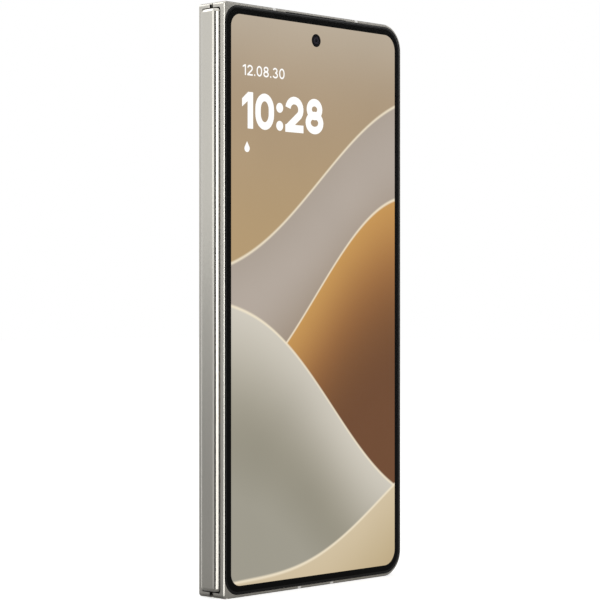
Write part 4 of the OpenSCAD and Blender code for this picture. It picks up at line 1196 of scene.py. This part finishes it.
# Electronics: cells in dark film, green boards, a copper charging coil, magnets and flexible
# cables, all inside the shut halves.
black_plastic = (0.02, 0.02, 0.022)
cell_wrap = speckled("cell wrap", black_plastic, (0.035, 0.035, 0.04), 900.0, 0.35)
dress(["rear_battery", "front_battery"], cell_wrap)
solder_mask = speckled("solder mask", (0.01, 0.06, 0.03), (0.02, 0.09, 0.05), 1400.0, 0.4)
dress(["main_board", "lower_board"], solder_mask)
copper = speckled("lacquered copper", (0.5, 0.2, 0.08), (0.62, 0.28, 0.12), 1200.0, 0.35, 1.0)
dress(["charging_coil"], copper)
nickel = speckled("nickel plate", (0.4, 0.4, 0.42), (0.5, 0.5, 0.5), 1500.0, 0.25, 1.0)
dress(["rear_magnets", "front_magnets"], nickel)
housing = speckled("camera housing", black_plastic, (0.03, 0.03, 0.03), 1600.0, 0.5)
dress(["camera_modules", "flash_module", "cover_camera"], housing)
film = speckled("polyimide film", (0.35, 0.14, 0.02), (0.42, 0.19, 0.03), 1100.0, 0.3)
dress(["key_switch_strip"], film)

# A cable's bend, width and thickness, its height over the hinge's middle plane in a half, where the
# bend is centred, and how far out the flat run starts and in what steps it is drawn
CABLE_R = 2.1
CABLE_W = 14.0
CABLE_T = 0.12
CABLE_H = GAP / 2 + 2.86
CABLE_X = SPINE_AXIS[0] + 0.17
CABLE_START = 7.0
CABLE_STEP = 0.762


def cable_line(radius):
    """The cable's run: along the half, round the inside of the spine and to its middle."""
    rise = CABLE_H - CABLE_R
    flat = [(CABLE_START - CABLE_STEP * n, rise + radius) for n in range(10)]
    bend = arc(CABLE_X, rise, radius, radius, 90, 180, 18)
    return flat + bend + [(CABLE_X - radius, rise * (1 - n / 4)) for n in range(1, 5)]


def hinge_cable(name, side, middle_z):
    """Half of one flat cable, bending between a half and the spine."""
    section = cable_line(CABLE_R) + cable_line(CABLE_R - CABLE_T)[::-1]
    ends = [middle_z - CABLE_W / 2, middle_z + CABLE_W / 2]
    made = loft(name, [[spine_point(s, side * h, z) for s, h in section] for z in ends], [film], smooth=50)
    made.modifiers.clear()
    if side == REAR:
        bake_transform(made)
    else:
        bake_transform(made)
    return made


# The cables lie this far above and below the phone's middle
CABLE_OFFSET = 0.1625 * HEIGHT
for n, middle_z in enumerate((HEIGHT / 2 - CABLE_OFFSET, HEIGHT / 2 + CABLE_OFFSET)):
    cable = hinge_cable(f"rear_cable_{n + 1}", REAR, middle_z)
    if n == 0:
        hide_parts("hinge_flex_cables")
    hinge_cable(f"front_cable_{n + 1}", FRONT, middle_z)

# Studio: a white floor under a white background, soft lamps round the phone and above it, and
# black, grey and lit cards that show only as shapes mirrored in its metal.
scene = bpy.context.scene
scene.view_settings.view_transform = "Standard"


def block(x0, x1, y0, y1, z):
    """The corners of a flat piece that lies square to the room."""
    return [(x0, y0, z), (x1, y0, z), (x1, y1, z), (x0, y1, z)]


floor_mesh = bpy.data.meshes.new("floor")
floor_mesh.from_pydata(block(-3, 3, -3, 3, 0), [], [(0, 1, 2, 3)])
floor = bpy.data.objects.new("floor", floor_mesh)
scene.collection.objects.link(floor)


def seen_itself(tree):
    """A node that is 1 for what is seen, mirrored or shown through glass, and 0 for light that spreads."""
    path = node(tree, "ShaderNodeLightPath")
    seen = node(tree, "ShaderNodeMath", operation="MAXIMUM")
    seen_all = node(tree, "ShaderNodeMath", operation="MAXIMUM")
    wire(tree, [
        (path, "Is Camera Ray", seen, 0), (path, "Is Glossy Ray", seen, 1),
        (seen, 0, seen_all, 0), (path, "Is Transmission Ray", seen_all, 1),
    ])
    return seen_all


white_floor = bpy.data.materials.new("white floor")
white_floor.use_nodes = True
tree = white_floor.node_tree
tree.nodes.clear()
leave = tree.nodes.new("ShaderNodeOutputMaterial")
paint = node(tree, "ShaderNodeBsdfDiffuse", values={"Color": (0.8, 0.8, 0.8, 1)})
glow = node(tree, "ShaderNodeEmission", values={"Color": (1, 1, 1, 1)})
level = node(tree, "ShaderNodeMath", operation="MULTIPLY", values={1: 0.55})
both = node(tree, "ShaderNodeAddShader")
wire(tree, [
    (seen_itself(tree), 0, level, 0), (level, 0, glow, "Strength"),
    (paint, 0, both, 0), (glow, 0, both, 1), (both, 0, leave, "Surface"),
])
floor_mesh.materials.append(white_floor)

world = bpy.data.worlds.new("studio")
scene.world = world
world.use_nodes = True
tree = world.node_tree
tree.nodes.clear()
leave = tree.nodes.new("ShaderNodeOutputWorld")
sky = node(tree, "ShaderNodeBackground", values={"Color": (1, 1, 1, 1), "Strength": 1.0})
soft = node(tree, "ShaderNodeBackground", values={"Color": (1, 1, 1, 1), "Strength": 0.6})
choose = node(tree, "ShaderNodeMixShader")
wire(tree, [
    (seen_itself(tree), 0, choose, 0), (soft, 0, choose, 1), (sky, 0, choose, 2),
    (choose, 0, leave, "Surface"),
])


def aimed(made, place, aim):
    """Puts a lamp or card at a place and turns its face to a point."""
    made.location = place
    made.rotation_euler = (Vector(aim) - Vector(place)).to_track_quat("-Z", "Y").to_euler()
    scene.collection.objects.link(made)


def soft_lamp(name, place, aim, size, power):
    """A rectangular softbox facing a point."""
    data = bpy.data.lights.new(name, "AREA")
    data.shape = "RECTANGLE"
    data.size, data.size_y = size
    data.energy = power
    aimed(bpy.data.objects.new(name, data), place, aim)


def around(angle, distance, height, middle=(0, 0)):
    """A place round the phone: the angle runs from the spine's side towards the screen's side."""
    a = math.radians(angle)
    return (middle[0] - distance * math.cos(a), middle[1] - distance * math.sin(a), height)


def card(name, corners, tone, glow=0.0):
    """A flat card that only shows as a black, grey or lit shape mirrored in the metal."""
    data = bpy.data.meshes.new(name)
    data.from_pydata(corners, [], [tuple(range(len(corners)))])
    material, _, shader = start_material(name, (tone, tone, tone), 1.0, Specular_IOR_Level=0.0)
    shader.inputs["Emission Color"].default_value = (1, 1, 1, 1)
    shader.inputs["Emission Strength"].default_value = glow
    data.materials.append(material)
    made = bpy.data.objects.new(name, data)
    made.visible_camera = made.visible_diffuse = made.visible_shadow = False
    return made


def standing_card(name, place, aim, size, tone):
    """A card that faces a point."""
    x, y = size[0] / 2, size[1] / 2
    aimed(card(name, [(-x, -y, 0), (x, -y, 0), (x, y, 0), (-x, y, 0)], tone), place, aim)


def floor_card(name, corners, tone, glow=0.0):
    """A card that lies on the floor."""
    scene.collection.objects.link(card(name, corners, tone, glow))


def wedge(first, last, near, far):
    """The corners of a floor card between two directions from the foot of the spine's shoulder."""
    foot = (-0.0365, -0.0025)
    return [around(a, r, 0.0001, foot) for a, r in ((first, near), (first, far), (last, far), (last, near))]


middle = (0, 0, 0.08)
soft_lamp("front lamp", around(52, 1.3, 0.32), middle, (0.4, 0.9), 2.9)
soft_lamp("left lamp", around(-18, 1.3, 0.55), middle, (0.45, 0.9), 1.4)
soft_lamp("high left lamp", around(-64, 1.08, 1.05), middle, (0.6, 0.6), 2.2)
soft_lamp("right lamp", around(150, 1.3, 0.7), middle, (0.8, 0.8), 2.0)
soft_lamp("top lamp", (0, 0, 1.3), middle, (1.0, 1.0), 1.6)
standing_card("narrow dark card", around(24.5, 0.7, 0.08), middle, (0.38, 0.8), 0.0)
standing_card("second dark card", around(84, 0.7, 0.08), middle, (0.28, 0.8), 0.0)
standing_card("grey card", around(137, 0.7, 0.17), middle, (0.5, 0.5), 0.58)
standing_card("high grey card", (0.65, 0.135, 0.86), (0, 0, 0.16), (0.5, 0.5), 0.5)
standing_card("low grey card", around(-44, 1.45, 0.03), (0, 0, 0.03), (1.6, 0.16), 0.8)
floor_card("front floor card", block(-0.034, 0.75, -0.75, -0.0045, 0.00005), 0.52)
floor_card("left floor card", wedge(-88, -26, 0.002, 1.6), 0.49)
floor_card("pale floor card", wedge(-26, 8, 0.002, 1.6), 0.7)
floor_card("narrow floor card", wedge(9, 41, 0.002, 0.72), 0.0)
floor_card("lit floor card", wedge(43, 60, 0.004, 0.72), 0.0, glow=2.2)
floor_card("second floor card", wedge(73, 95, 0.002, 0.72), 0.0)
floor_card("foot card", block(-0.055, -0.0345, -0.008, 0.008, 0.00015), 0.4)
